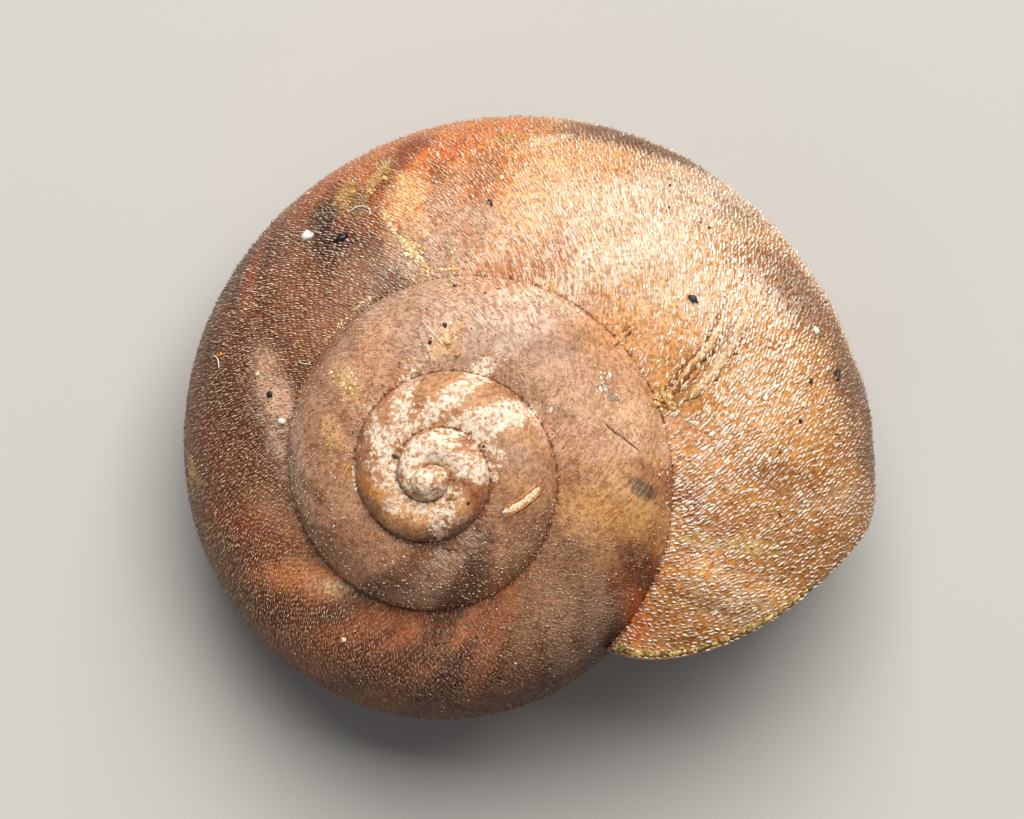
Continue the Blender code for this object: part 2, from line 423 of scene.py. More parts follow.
bpy.ops.object.select_all(action="DESELECT")
bpy.ops.mesh.primitive_grid_add(x_subdivisions=COLUMNS, y_subdivisions=ROWS - 1, size=1.0)
shell = bpy.context.object
shell.name = "snail_shell"
shell.data.name = "snail_shell"
grid_places = np.zeros(3 * len(shell.data.vertices))
shell.data.vertices.foreach_get("co", grid_places)
grid_places = grid_places.reshape(-1, 3)
column = np.rint((grid_places[:, 0] + 0.5) * COLUMNS).astype(int)
row = np.rint((grid_places[:, 1] + 0.5) * (ROWS - 1)).astype(int)
shell.data.vertices.foreach_set("co", skin_rows[row, column].ravel())

step_along = np.linalg.norm(np.diff(skin_rows, axis=1), axis=2)
line_length = np.concatenate([np.zeros((ROWS, 1)), np.cumsum(step_along, axis=1)], axis=1)
mid_radius, _ = whorl_centre(row_turns)
arc_steps = 0.5 * (mid_radius[1:] + mid_radius[:-1]) * np.diff(row_turns)
coil_length = np.concatenate([[0.0], np.cumsum(arc_steps)])
growth_map = np.stack([coil_length[:, None] + 0.0 * line_length, line_length, 0.0 * line_length], axis=-1)
growth_map *= MM_IN_METRE


def store(mesh, name, values):
    """Keeps three numbers for each point of a mesh, or the four of a colour, under a name."""
    kind, field = ("FLOAT_VECTOR", "vector") if values.shape[-1] == 3 else ("FLOAT_COLOR", "color")
    layer = mesh.attributes.new(name, kind, "POINT")
    layer.data.foreach_set(field, values.astype(np.float32).ravel())


def opaque(colours):
    """Colours with the fourth number that a colour layer needs."""
    return np.concatenate([colours, np.ones_like(colours[..., :1])], axis=-1)


store(shell.data, "growth", growth_map[row, column])


def paint(red, green, blue):
    """Light as stored, by the usual screen curve, from a colour as seen, 0 to 255."""
    seen = np.array([red, green, blue]) / 255.0
    return np.where(seen <= 0.04045, seen / 12.92, ((seen + 0.055) / 1.055) ** 2.4)


GOLDEN_BROWN = paint(164, 110, 50)
GOLDEN_TAN = paint(184, 130, 70)
AMBER = paint(188, 118, 54)
ORANGE = paint(190, 108, 42)
BURNT_ORANGE = paint(146, 76, 28)
RED_BROWN = paint(120, 62, 28)
MAROON = paint(78, 42, 32)
DARK_RED_BROWN = paint(98, 50, 24)
CHOCOLATE = paint(88, 42, 16)
WARM_BROWN = paint(118, 66, 38)
MAUVE_BROWN = paint(160, 118, 90)
PINK_GREY = paint(172, 136, 112)
TAN = paint(176, 132, 92)
OCHRE = paint(178, 134, 72)
OLIVE = paint(104, 84, 48)
OLIVE_YELLOW = paint(176, 150, 84)
APEX_TAN = paint(170, 122, 86)
CREAM = paint(226, 210, 186)
INSIDE_CREAM = paint(206, 182, 158)

# Skin colours at angles along the coil, in degrees back from the lip.
COIL_COLOURS = {
    -1560.0: APEX_TAN, -900.0: APEX_TAN, -760.0: TAN, -700.0: MAUVE_BROWN, -620.0: MAUVE_BROWN,
    -560.0: MAUVE_BROWN, -500.0: PINK_GREY, -450.0: PINK_GREY, -410.0: TAN, -380.0: TAN,
    -352.0: WARM_BROWN, -330.0: CHOCOLATE, -290.0: CHOCOLATE, -260.0: RED_BROWN, -230.0: DARK_RED_BROWN,
    -200.0: DARK_RED_BROWN, -170.0: DARK_RED_BROWN, -150.0: MAROON, -138.0: BURNT_ORANGE,
    -120.0: ORANGE, -100.0: AMBER, -80.0: GOLDEN_TAN, -55.0: GOLDEN_TAN, -25.0: GOLDEN_BROWN,
    0.0: GOLDEN_BROWN,
}


def by_turn(turns, stops):
    """Values along the coil, eased between a few given at degrees back from the lip."""
    return np.interp(turns, np.radians(list(stops)), list(stops.values()))


tint = np.stack([
    by_turn(turn, {place: colour[channel] for place, colour in COIL_COLOURS.items()}) for channel in range(3)
], axis=-1)
STREAKS_EVERYWHERE = 0.05
MIDDLE_RAGGED = 0.7
FINE_RAGGED = 0.8
NEAR_PIXELS = 7.0
HIDDEN_BELOW = 0.0006
eroded = 0.0 * turn
streaky = STREAKS_EVERYWHERE + 0.0 * turn
OUTSIDE_ROWS = len(outside_turns)
EXPOSED = TOP_COLUMNS + SIDE_COLUMNS


def unit(vectors):
    """Vectors of the same directions with a length of one."""
    return vectors / np.maximum(np.linalg.norm(vectors, axis=-1, keepdims=True), SHORTEST)


forward_rows = unit(np.gradient(skin_rows[:OUTSIDE_ROWS], axis=0))
down_rows = unit(np.gradient(skin_rows, axis=1))
seen_across, seen_down = picture_places(skin_rows[:OUTSIDE_ROWS, :EXPOSED + 1])
seen_height = skin_rows[:OUTSIDE_ROWS, :EXPOSED + 1, 2]
ragged = speckle(skin_rows, frequency=1.7, offset=5.0)
ragged += MIDDLE_RAGGED * speckle(skin_rows, frequency=4.1, offset=9.0)
ragged += FINE_RAGGED * speckle(skin_rows, frequency=10.0, offset=2.0)


def surface_at(pixel):
    """Row and column of the sheet, with their fractions, that show at a pixel of the photograph."""
    gap = np.hypot(seen_across - pixel[0], seen_down - pixel[1])
    close = gap < gap.min() + NEAR_PIXELS
    top = np.max(np.where(close, seen_height, -1.0))
    hidden = close & (seen_height < top - HIDDEN_BELOW)
    row_at, column_at = np.unravel_index(np.argmin(np.where(close & ~hidden, gap, FAR_AWAY)), gap.shape)
    row_at = int(np.clip(row_at, 1, OUTSIDE_ROWS - 3))
    column_at = int(np.clip(column_at, 1, EXPOSED - 2))
    steps = np.array([
        [seen_across[row_at + 1, column_at] - seen_across[row_at - 1, column_at],
         seen_across[row_at, column_at + 1] - seen_across[row_at, column_at - 1]],
        [seen_down[row_at + 1, column_at] - seen_down[row_at - 1, column_at],
         seen_down[row_at, column_at + 1] - seen_down[row_at, column_at - 1]],
    ]) * 0.5
    missing = np.array([pixel[0] - seen_across[row_at, column_at], pixel[1] - seen_down[row_at, column_at]])
    moved = np.clip(np.linalg.lstsq(steps, missing, rcond=None)[0], -1.0, 1.0)
    return row_at + moved[0], column_at + moved[1]


def patch_share(at, along, across, ragged_by=0.35, softness=0.45):
    """One inside an uneven oval on the skin, sized in millimetres along the coil and along a growth line."""
    row_at, column_at = (int(round(value)) for value in surface_at(at))
    offset = MM_IN_METRE * (skin_rows - skin_rows[row_at, column_at])
    ahead = offset @ forward_rows[row_at, column_at]
    down_line = offset @ down_rows[row_at, column_at]
    outward = offset @ np.cross(forward_rows[row_at, column_at], down_rows[row_at, column_at])
    reach = np.sqrt((ahead / along) ** 2 + (down_line / across) ** 2 + (outward / (along + across)) ** 2)
    return 1.0 - smooth_step(reach + ragged_by * ragged, low=1.0 - softness, high=1.0 + softness)


def stain(at, along, across, colour, strength, ragged_by=0.35):
    """Mixes a colour into the skin over one uneven patch."""
    share = strength * patch_share(at, along, across, ragged_by)[..., None]
    tint[...] = tint + share * (colour - tint)


def wear(at, along, across, strength, ragged_by=0.35):
    """Rubs the skin through to the pale lime over one uneven patch."""
    eroded[...] = np.maximum(eroded, strength * patch_share(at, along, across, ragged_by))


def streak(at, along, across, strength):
    """Makes the pale growth lines stand out over one patch: partly their own colour, partly painted
    highlight on the riblet crests.
    """
    streaky[...] = streaky + (strength - streaky) * patch_share(at, along, across, ragged_by=0.2,
            softness=0.6)


# The right side, from the lip to the upper rim, where the skin is golden brown.
stain(at=(864, 430), along=1.5, across=1.0, colour=paint(100, 56, 24), strength=0.9)
stain(at=(850, 372), along=0.7, across=0.7, colour=paint(112, 74, 48), strength=0.7)
stain(at=(812, 560), along=1.1, across=0.9, colour=paint(146, 100, 54), strength=0.7)
stain(at=(720, 585), along=0.45, across=1.0, colour=paint(194, 130, 62), strength=0.7)
stain(at=(760, 640), along=0.5, across=1.2, colour=paint(150, 114, 58), strength=0.7)
stain(at=(690, 640), along=0.5, across=0.9, colour=paint(138, 88, 36), strength=0.7)
stain(at=(700, 520), along=1.0, across=0.7, colour=paint(150, 96, 48), strength=0.5)
stain(at=(762, 330), along=1.2, across=0.5, colour=paint(180, 120, 62), strength=0.6)
# A narrow darker band beside the long fold: painted shadow of the fold.
stain(at=(716, 345), along=0.22, across=0.6, colour=paint(136, 90, 50), strength=0.6)
stain(at=(800, 290), along=1.4, across=0.8, colour=paint(114, 68, 26), strength=0.85)
stain(at=(745, 220), along=0.18, across=0.5, colour=OLIVE_YELLOW, strength=0.8)
stain(at=(700, 200), along=1.3, across=0.7, colour=paint(116, 74, 34), strength=0.85)
stain(at=(650, 148), along=1.8, across=0.5, colour=paint(84, 42, 16), strength=0.85)
# The upper rim and the pale, streaky top, whose pale patches are partly painted highlight.
stain(at=(600, 128), along=0.8, across=0.35, colour=MAROON, strength=0.7)
# Two pale patches on the top of the whorl: partly pale streaky skin, partly painted highlight where the top
# faces the light.
stain(at=(610, 240), along=1.6, across=1.1, colour=paint(206, 176, 142), strength=0.85)
stain(at=(530, 210), along=1.3, across=0.9, colour=paint(204, 160, 116), strength=0.8)
stain(at=(480, 190), along=0.35, across=0.7, colour=paint(132, 80, 46), strength=0.6, ragged_by=0.5)
stain(at=(640, 320), along=1.0, across=0.8, colour=paint(200, 150, 102), strength=0.8)
# Lighter and darker patches over the right side, down to the lip.
stain(at=(690, 440), along=0.8, across=0.5, colour=paint(190, 134, 82), strength=0.6)
stain(at=(785, 400), along=1.3, across=0.9, colour=paint(190, 138, 82), strength=0.5)
stain(at=(735, 548), along=0.14, across=0.7, colour=OLIVE_YELLOW, strength=0.6, ragged_by=0.6)
stain(at=(655, 560), along=0.6, across=0.25, colour=paint(168, 84, 34), strength=0.75)
stain(at=(636, 612), along=0.6, across=0.28, colour=paint(172, 84, 38), strength=0.75)
stain(at=(700, 602), along=0.12, across=0.8, colour=paint(118, 64, 24), strength=0.6)
stain(at=(760, 592), along=0.12, across=0.9, colour=paint(196, 142, 76), strength=0.5)
stain(at=(690, 562), along=0.10, across=0.8, colour=paint(196, 140, 76), strength=0.5)
stain(at=(790, 480), along=0.5, across=0.5, colour=paint(124, 78, 38), strength=0.6)
stain(at=(840, 500), along=0.3, across=0.9, colour=paint(176, 142, 108), strength=0.6)
stain(at=(695, 315), along=0.8, across=0.7, colour=paint(208, 160, 110), strength=0.55)
stain(at=(645, 220), along=0.7, across=0.5, colour=paint(176, 124, 72), strength=0.6)
stain(at=(715, 300), along=0.4, across=0.5, colour=paint(178, 128, 76), strength=0.5)
# Burnt orange, olive and cream patches at the top and the upper left.
stain(at=(448, 198), along=0.6, across=0.4, colour=paint(164, 118, 80), strength=0.8)
stain(at=(440, 162), along=0.6, across=0.35, colour=paint(126, 78, 44), strength=0.85)
stain(at=(520, 265), along=1.0, across=0.45, colour=paint(170, 106, 60), strength=0.7)
stain(at=(538, 142), along=0.35, across=0.16, colour=CREAM, strength=0.5, ragged_by=0.6)
stain(at=(505, 139), along=0.25, across=0.1, colour=OLIVE_YELLOW, strength=0.8)
stain(at=(470, 138), along=1.2, across=0.45, colour=paint(190, 98, 26), strength=0.75)
stain(at=(396, 162), along=0.7, across=0.5, colour=paint(118, 48, 12), strength=0.85)
stain(at=(402, 220), along=0.5, across=0.6, colour=paint(226, 170, 114), strength=0.9, ragged_by=0.5)
stain(at=(445, 255), along=0.9, across=0.45, colour=paint(182, 146, 120), strength=0.85)
stain(at=(410, 255), along=0.25, across=0.3, colour=CREAM, strength=0.7, ragged_by=0.6)
stain(at=(342, 197), along=0.25, across=0.2, colour=OCHRE, strength=0.8, ragged_by=0.6)
stain(at=(378, 178), along=0.35, across=0.14, colour=paint(196, 160, 96), strength=0.75, ragged_by=0.6)
stain(at=(355, 206), along=0.3, across=0.22, colour=OLIVE, strength=0.7, ragged_by=0.6)
stain(at=(326, 224), along=0.5, across=0.4, colour=paint(44, 22, 16), strength=0.85)
stain(at=(302, 206), along=0.4, across=0.3, colour=paint(140, 68, 36), strength=0.6, ragged_by=0.6)
# The dark left side, and a paler band along its suture that is painted highlight.
stain(at=(255, 262), along=0.7, across=0.25, colour=paint(160, 74, 38), strength=0.6, ragged_by=0.6)
stain(at=(390, 262), along=0.7, across=0.4, colour=paint(124, 84, 66), strength=0.7)
stain(at=(345, 305), along=1.2, across=0.4, colour=paint(142, 98, 72), strength=0.8)
stain(at=(300, 290), along=0.9, across=0.7, colour=paint(134, 82, 52), strength=0.6)
# Pale band along the suture: painted highlight.
stain(at=(285, 425), along=1.5, across=0.34, colour=paint(186, 146, 120), strength=0.9)
stain(at=(292, 520), along=0.9, across=0.32, colour=paint(152, 100, 70), strength=0.7)
stain(at=(322, 582), along=1.1, across=0.4, colour=paint(176, 106, 54), strength=0.9)
stain(at=(372, 622), along=0.9, across=0.4, colour=paint(148, 80, 40), strength=0.8)
stain(at=(240, 525), along=0.5, across=0.3, colour=paint(122, 48, 26), strength=0.6, ragged_by=0.6)
stain(at=(199, 425), along=1.0, across=0.16, colour=paint(108, 40, 24), strength=0.7)
stain(at=(193, 470), along=0.4, across=0.12, colour=paint(184, 140, 84), strength=0.8, ragged_by=0.5)
stain(at=(225, 395), along=1.0, across=0.6, colour=paint(72, 36, 22), strength=0.5)
# The lower side, red brown, with near-black stains along the rim that faces the floor: its own dark brown
# with painted shade over it.
stain(at=(440, 626), along=1.8, across=0.28, colour=paint(156, 94, 54), strength=0.85)
stain(at=(465, 630), along=0.35, across=0.2, colour=paint(176, 84, 40), strength=0.6, ragged_by=0.6)
stain(at=(520, 630), along=0.9, across=0.3, colour=paint(120, 74, 46), strength=0.7)
stain(at=(420, 655), along=1.2, across=0.35, colour=paint(108, 54, 28), strength=0.6)
stain(at=(450, 640), along=0.9, across=0.3, colour=paint(176, 108, 68), strength=0.8)
stain(at=(400, 640), along=0.7, across=0.28, colour=paint(164, 92, 52), strength=0.75)
# Near-black stains on the lower rim: painted shade over the dark brown skin.
stain(at=(262, 612), along=0.8, across=0.5, colour=paint(84, 32, 8), strength=0.75)
stain(at=(360, 680), along=1.4, across=0.35, colour=paint(80, 36, 16), strength=0.8)
stain(at=(440, 695), along=1.3, across=0.3, colour=paint(70, 26, 6), strength=0.8)
stain(at=(340, 588), along=0.35, across=0.2, colour=paint(206, 164, 118), strength=0.7, ragged_by=0.6)
stain(at=(590, 606), along=0.9, across=0.6, colour=paint(146, 114, 90), strength=0.75)
# More near-black painted shade along the lower rim.
stain(at=(560, 672), along=1.2, across=0.35, colour=paint(50, 18, 4), strength=0.75)
stain(at=(530, 612), along=0.9, across=0.4, colour=paint(132, 92, 64), strength=0.75)
stain(at=(490, 636), along=1.0, across=0.3, colour=paint(150, 88, 54), strength=0.75)
stain(at=(560, 622), along=0.8, across=0.4, colour=paint(152, 114, 88), strength=0.8)
stain(at=(605, 645), along=0.8, across=0.3, colour=paint(52, 16, 4), strength=0.9)
# The last whorl but one, mauve and tan, with its blotches.
stain(at=(642, 560), along=0.6, across=0.4, colour=paint(82, 36, 16), strength=0.75)
stain(at=(650, 470), along=1.3, across=0.35, colour=paint(150, 92, 62), strength=0.75)
stain(at=(622, 500), along=1.0, across=0.7, colour=paint(186, 138, 80), strength=0.85)
stain(at=(641, 488), along=0.27, across=0.21, colour=paint(84, 64, 46), strength=0.9)
stain(at=(648, 452), along=0.3, across=0.16, colour=paint(206, 162, 98), strength=0.7, ragged_by=0.5)
stain(at=(610, 425), along=1.0, across=0.8, colour=paint(200, 164, 134), strength=0.8)
# A pale greyish patch on top of this whorl: partly its mauve skin, partly painted highlight.
stain(at=(520, 330), along=0.9, across=0.5, colour=paint(184, 156, 138), strength=0.7)
stain(at=(455, 315), along=0.8, across=0.4, colour=paint(190, 158, 136), strength=0.6)
stain(at=(565, 338), along=0.5, across=0.3, colour=paint(146, 108, 82), strength=0.65)
stain(at=(569, 352), along=0.12, across=0.16, colour=paint(100, 80, 72), strength=0.6, ragged_by=0.5)
stain(at=(556, 414), along=0.3, across=0.16, colour=paint(112, 86, 76), strength=0.55, ragged_by=0.5)
stain(at=(580, 440), along=0.7, across=0.35, colour=paint(186, 130, 98), strength=0.5)
stain(at=(585, 370), along=0.8, across=0.6, colour=paint(186, 142, 116), strength=0.6)
stain(at=(375, 355), along=0.7, across=0.4, colour=paint(192, 146, 112), strength=0.7)
stain(at=(445, 340), along=0.35, across=0.2, colour=paint(196, 150, 90), strength=0.7, ragged_by=0.6)
stain(at=(347, 385), along=0.3, across=0.25, colour=paint(206, 168, 124), strength=0.75, ragged_by=0.6)
stain(at=(330, 430), along=0.22, across=0.2, colour=paint(202, 158, 112), strength=0.75, ragged_by=0.6)
stain(at=(292, 460), along=1.1, across=0.14, colour=paint(110, 74, 56), strength=0.7)
stain(at=(305, 520), along=1.0, across=0.16, colour=paint(104, 66, 48), strength=0.6)
stain(at=(390, 585), along=1.5, across=0.3, colour=paint(82, 50, 34), strength=0.8)
stain(at=(460, 594), along=1.4, across=0.35, colour=paint(72, 42, 26), strength=0.8)
stain(at=(545, 545), along=0.8, across=0.3, colour=paint(104, 66, 46), strength=0.6)
stain(at=(430, 565), along=1.2, across=0.4, colour=paint(132, 94, 70), strength=0.6)
stain(at=(345, 545), along=0.8, across=0.6, colour=paint(134, 92, 66), strength=0.6)
# The small whorls round the apex.
stain(at=(560, 480), along=0.6, across=0.3, colour=paint(150, 98, 72), strength=0.6)
stain(at=(520, 460), along=0.5, across=0.35, colour=paint(158, 122, 104), strength=0.7)
stain(at=(520, 520), along=0.5, across=0.35, colour=paint(138, 96, 76), strength=0.7)
stain(at=(400, 375), along=0.4, across=0.2, colour=paint(176, 116, 76), strength=0.6)
stain(at=(366, 485), along=0.5, across=0.16, colour=paint(196, 138, 66), strength=0.8)
stain(at=(425, 512), along=1.0, across=0.26, colour=paint(204, 152, 94), strength=0.7)
stain(at=(432, 535), along=0.8, across=0.14, colour=paint(104, 58, 34), strength=0.8)
stain(at=(478, 505), along=0.4, across=0.16, colour=paint(128, 72, 40), strength=0.7)
stain(at=(470, 435), along=0.25, across=0.2, colour=paint(140, 84, 52), strength=0.7)
# Skin worn through to the lime, on the small whorls.
wear(at=(424, 481), along=0.34, across=0.34, strength=1.0, ragged_by=0.1)
wear(at=(434, 448), along=0.80, across=0.34, strength=1.0)
wear(at=(464, 466), along=0.50, across=0.30, strength=0.90)
wear(at=(496, 418), along=0.56, across=0.40, strength=1.0)
wear(at=(452, 393), along=0.90, across=0.26, strength=0.85)
wear(at=(402, 408), along=0.60, across=0.28, strength=0.80)
wear(at=(380, 440), along=0.50, across=0.32, strength=1.0)
wear(at=(386, 478), along=0.60, across=0.28, strength=0.62)
wear(at=(410, 506), along=0.60, across=0.28, strength=0.74)
wear(at=(445, 512), along=0.60, across=0.26, strength=0.70)
wear(at=(487, 448), along=0.40, across=0.22, strength=0.62)
wear(at=(440, 335), along=0.60, across=0.30, strength=0.30)
# Places where the growth lines stand out, pale along their riblets: partly their own colour, partly painted
# highlight on the riblet crests.
streak(at=(600, 240), along=2.0, across=1.2, strength=1.0)
streak(at=(520, 250), along=1.2, across=0.7, strength=0.8)
streak(at=(740, 290), along=1.2, across=0.6, strength=0.9)
streak(at=(722, 585), along=0.7, across=0.8, strength=0.6)
streak(at=(440, 325), along=0.9, across=0.5, strength=0.3)
streak(at=(285, 440), along=1.6, across=0.4, strength=0.45)
streak(at=(450, 558), along=1.2, across=0.3, strength=0.3)
streak(at=(596, 462), along=0.9, across=0.4, strength=0.35)
streak(at=(340, 586), along=0.6, across=0.22, strength=0.5)
streak(at=(400, 270), along=1.5, across=0.4, strength=0.5)

inside = wall_share + 0.0 * around
tint = tint + inside[..., None] * (INSIDE_CREAM - tint)
store(shell.data, "tint", opaque(tint)[row, column])
skin_zone = np.stack([hairiness(back), eroded, streaky, 1.0 - inside], axis=-1)
store(shell.data, "zone", skin_zone[row, column])

bpy.ops.object.mode_set(mode="EDIT")
bpy.ops.mesh.select_all(action="SELECT")
bpy.ops.mesh.remove_doubles(threshold=1e-7)
bpy.ops.mesh.flip_normals()
bpy.ops.object.mode_set(mode="OBJECT")
bpy.ops.object.shade_smooth()


def number_node(tree, operation, first, second):
    """Math node on two sockets or values."""
    made = tree.nodes.new("ShaderNodeMath")
    made.operation = operation
    for socket, value in zip(made.inputs, (first, second)):
        if isinstance(value, bpy.types.NodeSocket):
            tree.links.new(value, socket)
        else:
            socket.default_value = value
    return made.outputs[0]


def noise_node(tree, vector, scale, detail, roughness, distortion=0.0):
    """Cloudy noise from about 0 to 1."""
    made = tree.nodes.new("ShaderNodeTexNoise")
    made.inputs["Distortion"].default_value = distortion
    made.inputs["Scale"].default_value = scale
    made.inputs["Detail"].default_value = detail
    made.inputs["Roughness"].default_value = roughness
    tree.links.new(vector, made.inputs["Vector"])
    return made.outputs["Fac"]


def range_node(tree, value, low, high, to_low=0.0, to_high=1.0):
    """Carries a value softly from one range to another."""
    made = tree.nodes.new("ShaderNodeMapRange")
    made.interpolation_type = "SMOOTHSTEP"
    tree.links.new(value, made.inputs["Value"])
    made.inputs["From Min"].default_value = low
    made.inputs["From Max"].default_value = high
    made.inputs["To Min"].default_value = to_low
    made.inputs["To Max"].default_value = to_high
    return made.outputs["Result"]


def colour_node(tree, amount, first, second, kind="MIX"):
    """The first colour with so much of the second mixed in."""
    made = tree.nodes.new("ShaderNodeMix")
    made.data_type = "RGBA"
    made.blend_type = kind
    for name, value in (("Factor_Float", amount), ("A_Color", first), ("B_Color", second)):
        socket = next(item for item in made.inputs if item.identifier == name)
        if isinstance(value, bpy.types.NodeSocket):
            tree.links.new(value, socket)
        elif isinstance(value, float):
            socket.default_value = value
        else:
            socket.default_value = (*value, 1.0)
    return next(item for item in made.outputs if item.identifier == "Result_Color")


def shaded_by(tree, colour, factor):
    """A colour multiplied by another."""
    return colour_node(tree, 1.0, colour, factor, kind="MULTIPLY")


def stretched(tree, vector, factors):
    """Places scaled by a factor along each axis."""
    made = tree.nodes.new("ShaderNodeMapping")
    made.inputs["Scale"].default_value = factors
    tree.links.new(vector, made.inputs["Vector"])
    return made.outputs["Vector"]


def object_places(tree):
    return tree.nodes.new("ShaderNodeTexCoord").outputs["Object"]


def new_material(name):
    """A fresh material with its node tree and its surface shader."""
    made = bpy.data.materials.new(name)
    made.use_nodes = True
    return made, made.node_tree, made.node_tree.nodes["Principled BSDF"]


def rough_up(tree, surface, height, strength, depth):
    """Fine relief, so many metres deep, from a height between 0 and 1."""
    bump = tree.nodes.new("ShaderNodeBump")
    bump.inputs["Strength"].default_value = strength
    bump.inputs["Distance"].default_value = depth
    tree.links.new(height, bump.inputs["Height"])
    tree.links.new(bump.outputs["Normal"], surface.inputs["Normal"])


def attribute_node(tree, name):
    made = tree.nodes.new("ShaderNodeAttribute")
    made.attribute_name = name
    return made


def plus(tree, first, second):
    return number_node(tree, "ADD", first, second)


def times(tree, first, second):
    return number_node(tree, "MULTIPLY", first, second)


DARKER = (0.60, 0.46, 0.36)
LIGHTER = (1.55, 1.50, 1.42)
BLOOM_AND_HIGHLIGHT = (0.90, 0.82, 0.72)
LIME_WHITE = (0.82, 0.75, 0.65)
LIME_TAN = paint(176, 120, 76)
SUTURE_SHADE_BROWN = paint(80, 34, 20)
LINING_TAN = paint(186, 150, 118)
LINING_PALE = paint(228, 208, 186)
skin, tree, surface = new_material("horny_skin")
growth = attribute_node(tree, "growth").outputs["Vector"]
tint_colour = attribute_node(tree, "tint").outputs["Color"]
zone = attribute_node(tree, "zone")
zone_parts = tree.nodes.new("ShaderNodeSeparateColor")
tree.links.new(zone.outputs["Color"], zone_parts.inputs["Color"])
hairy_part = zone_parts.outputs["Red"]
eroded_part = zone_parts.outputs["Green"]
streaky_part = zone_parts.outputs["Blue"]
outside_part = zone.outputs["Alpha"]
growth_parts = tree.nodes.new("ShaderNodeSeparateXYZ")
tree.links.new(growth, growth_parts.inputs["Vector"])
from_suture = growth_parts.outputs["Y"]
places = object_places(tree)
riblets = noise_node(tree, stretched(tree, growth, factors=(20.0, 3.0, 1.0)), scale=1.0, detail=2.0,
                     roughness=0.55, distortion=0.6)
fine_lines = noise_node(tree, stretched(tree, growth, factors=(30.0, 3.0, 1.0)), scale=1.0, detail=2.0,
                        roughness=0.6, distortion=0.4)
flecks = noise_node(tree, stretched(tree, growth, factors=(17.0, 9.0, 1.0)), scale=1.0, detail=1.0,
                    roughness=0.5)
clouds = noise_node(tree, places, scale=1300.0, detail=5.0, roughness=0.65, distortion=0.3)
blotches = noise_node(tree, places, scale=4200.0, detail=4.0, roughness=0.6, distortion=0.5)
grain = noise_node(tree, places, scale=9000.0, detail=4.0, roughness=0.65)
dust = noise_node(tree, places, scale=24000.0, detail=2.0, roughness=0.55)
pits = noise_node(tree, places, scale=12500.0, detail=3.0, roughness=0.6, distortion=0.2)
dark = shaded_by(tree, tint_colour, DARKER)
light = shaded_by(tree, tint_colour, LIGHTER)
# Pale tone for the dust bloom, and for the painted highlight on the riblet crests.
pale = colour_node(tree, amount=0.62, first=tint_colour, second=BLOOM_AND_HIGHLIGHT)
clouded = colour_node(tree, range_node(tree, clouds, low=0.36, high=0.60), dark, tint_colour)
blotched = colour_node(tree, range_node(tree, blotches, low=0.52, high=0.36, to_high=0.75), clouded, dark)
line_strength = range_node(tree, hairy_part, low=0.0, high=1.0, to_low=0.42, to_high=0.45)
line_amount = times(tree, range_node(tree, fine_lines, low=0.47, high=0.62), line_strength)
lined = colour_node(tree, line_amount, blotched, light)
fleck_amount = times(tree, range_node(tree, flecks, low=0.50, high=0.62, to_high=0.7), hairy_part)
flecked = colour_node(tree, fleck_amount, lined, light)
# Pale along the same riblets that give the relief: partly pale growth lines, partly painted highlight on the
# riblet crests.
streak_amount = times(tree, range_node(tree, riblets, low=0.46, high=0.57), streaky_part)
streaked = colour_node(tree, streak_amount, flecked, pale)
bloom = colour_node(tree, range_node(tree, pits, low=0.48, high=0.62, to_high=0.55), streaked, light)
dusted = colour_node(tree, range_node(tree, dust, low=0.58, high=0.72, to_high=0.34), bloom, pale)
grained = colour_node(tree, range_node(tree, grain, low=0.50, high=0.38, to_high=0.70), dusted, dark)
lime = colour_node(tree, range_node(tree, grain, low=0.40, high=0.58), LIME_TAN, CREAM)
chalk = colour_node(tree, range_node(tree, pits, low=0.44, high=0.66), lime, LIME_WHITE)
hold_broad = range_node(tree, blotches, low=0.35, high=0.65, to_low=0.28, to_high=0.66)
hold_fine = range_node(tree, pits, low=0.36, high=0.64, to_low=-0.34, to_high=0.34)
worn_sum = number_node(tree, "SUBTRACT", eroded_part, hold_broad)
worn_sum = number_node(tree, "SUBTRACT", worn_sum, hold_fine)
worn_amount = range_node(tree, worn_sum, low=-0.08, high=0.24)
worn = colour_node(tree, worn_amount, grained, chalk)
# Painted shade in the suture: the skin darkens to brown within a tenth of a millimetre of the whorl above.
suture_shade_edge = plus(tree, from_suture, range_node(tree, grain, low=0.3, high=0.7, to_low=-0.05, to_high=0.05))
suture_shade = colour_node(tree, range_node(tree, suture_shade_edge, low=0.10, high=0.0, to_high=0.8), worn,
                        SUTURE_SHADE_BROWN)
lining_clouds = colour_node(tree, range_node(tree, clouds, low=0.36, high=0.62), LINING_TAN, INSIDE_CREAM)
lining_lines = range_node(tree, fine_lines, low=0.44, high=0.60, to_high=0.45)
lining = colour_node(tree, lining_lines, lining_clouds, LINING_PALE)
outer_skin = colour_node(tree, outside_part, lining, suture_shade)
tree.links.new(outer_skin, surface.inputs["Base Color"])
gloss = range_node(tree, worn_sum, low=-0.05, high=0.20, to_low=0.38, to_high=0.75)
tree.links.new(gloss, surface.inputs["Roughness"])
surface.inputs["Specular IOR Level"].default_value = 0.22
GRAIN_RELIEF = 0.6
DUST_RELIEF = 0.25
relief = plus(tree, times(tree, riblets, streaky_part), times(tree, grain, GRAIN_RELIEF))
relief = plus(tree, relief, times(tree, dust, DUST_RELIEF))
relief = times(tree, relief, range_node(tree, outside_part, low=0.0, high=1.0, to_low=0.2, to_high=1.0))
rough_up(tree, surface, relief, strength=0.8, depth=0.00003)
shell.data.materials.append(skin)
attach(shell, "root")
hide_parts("shell")


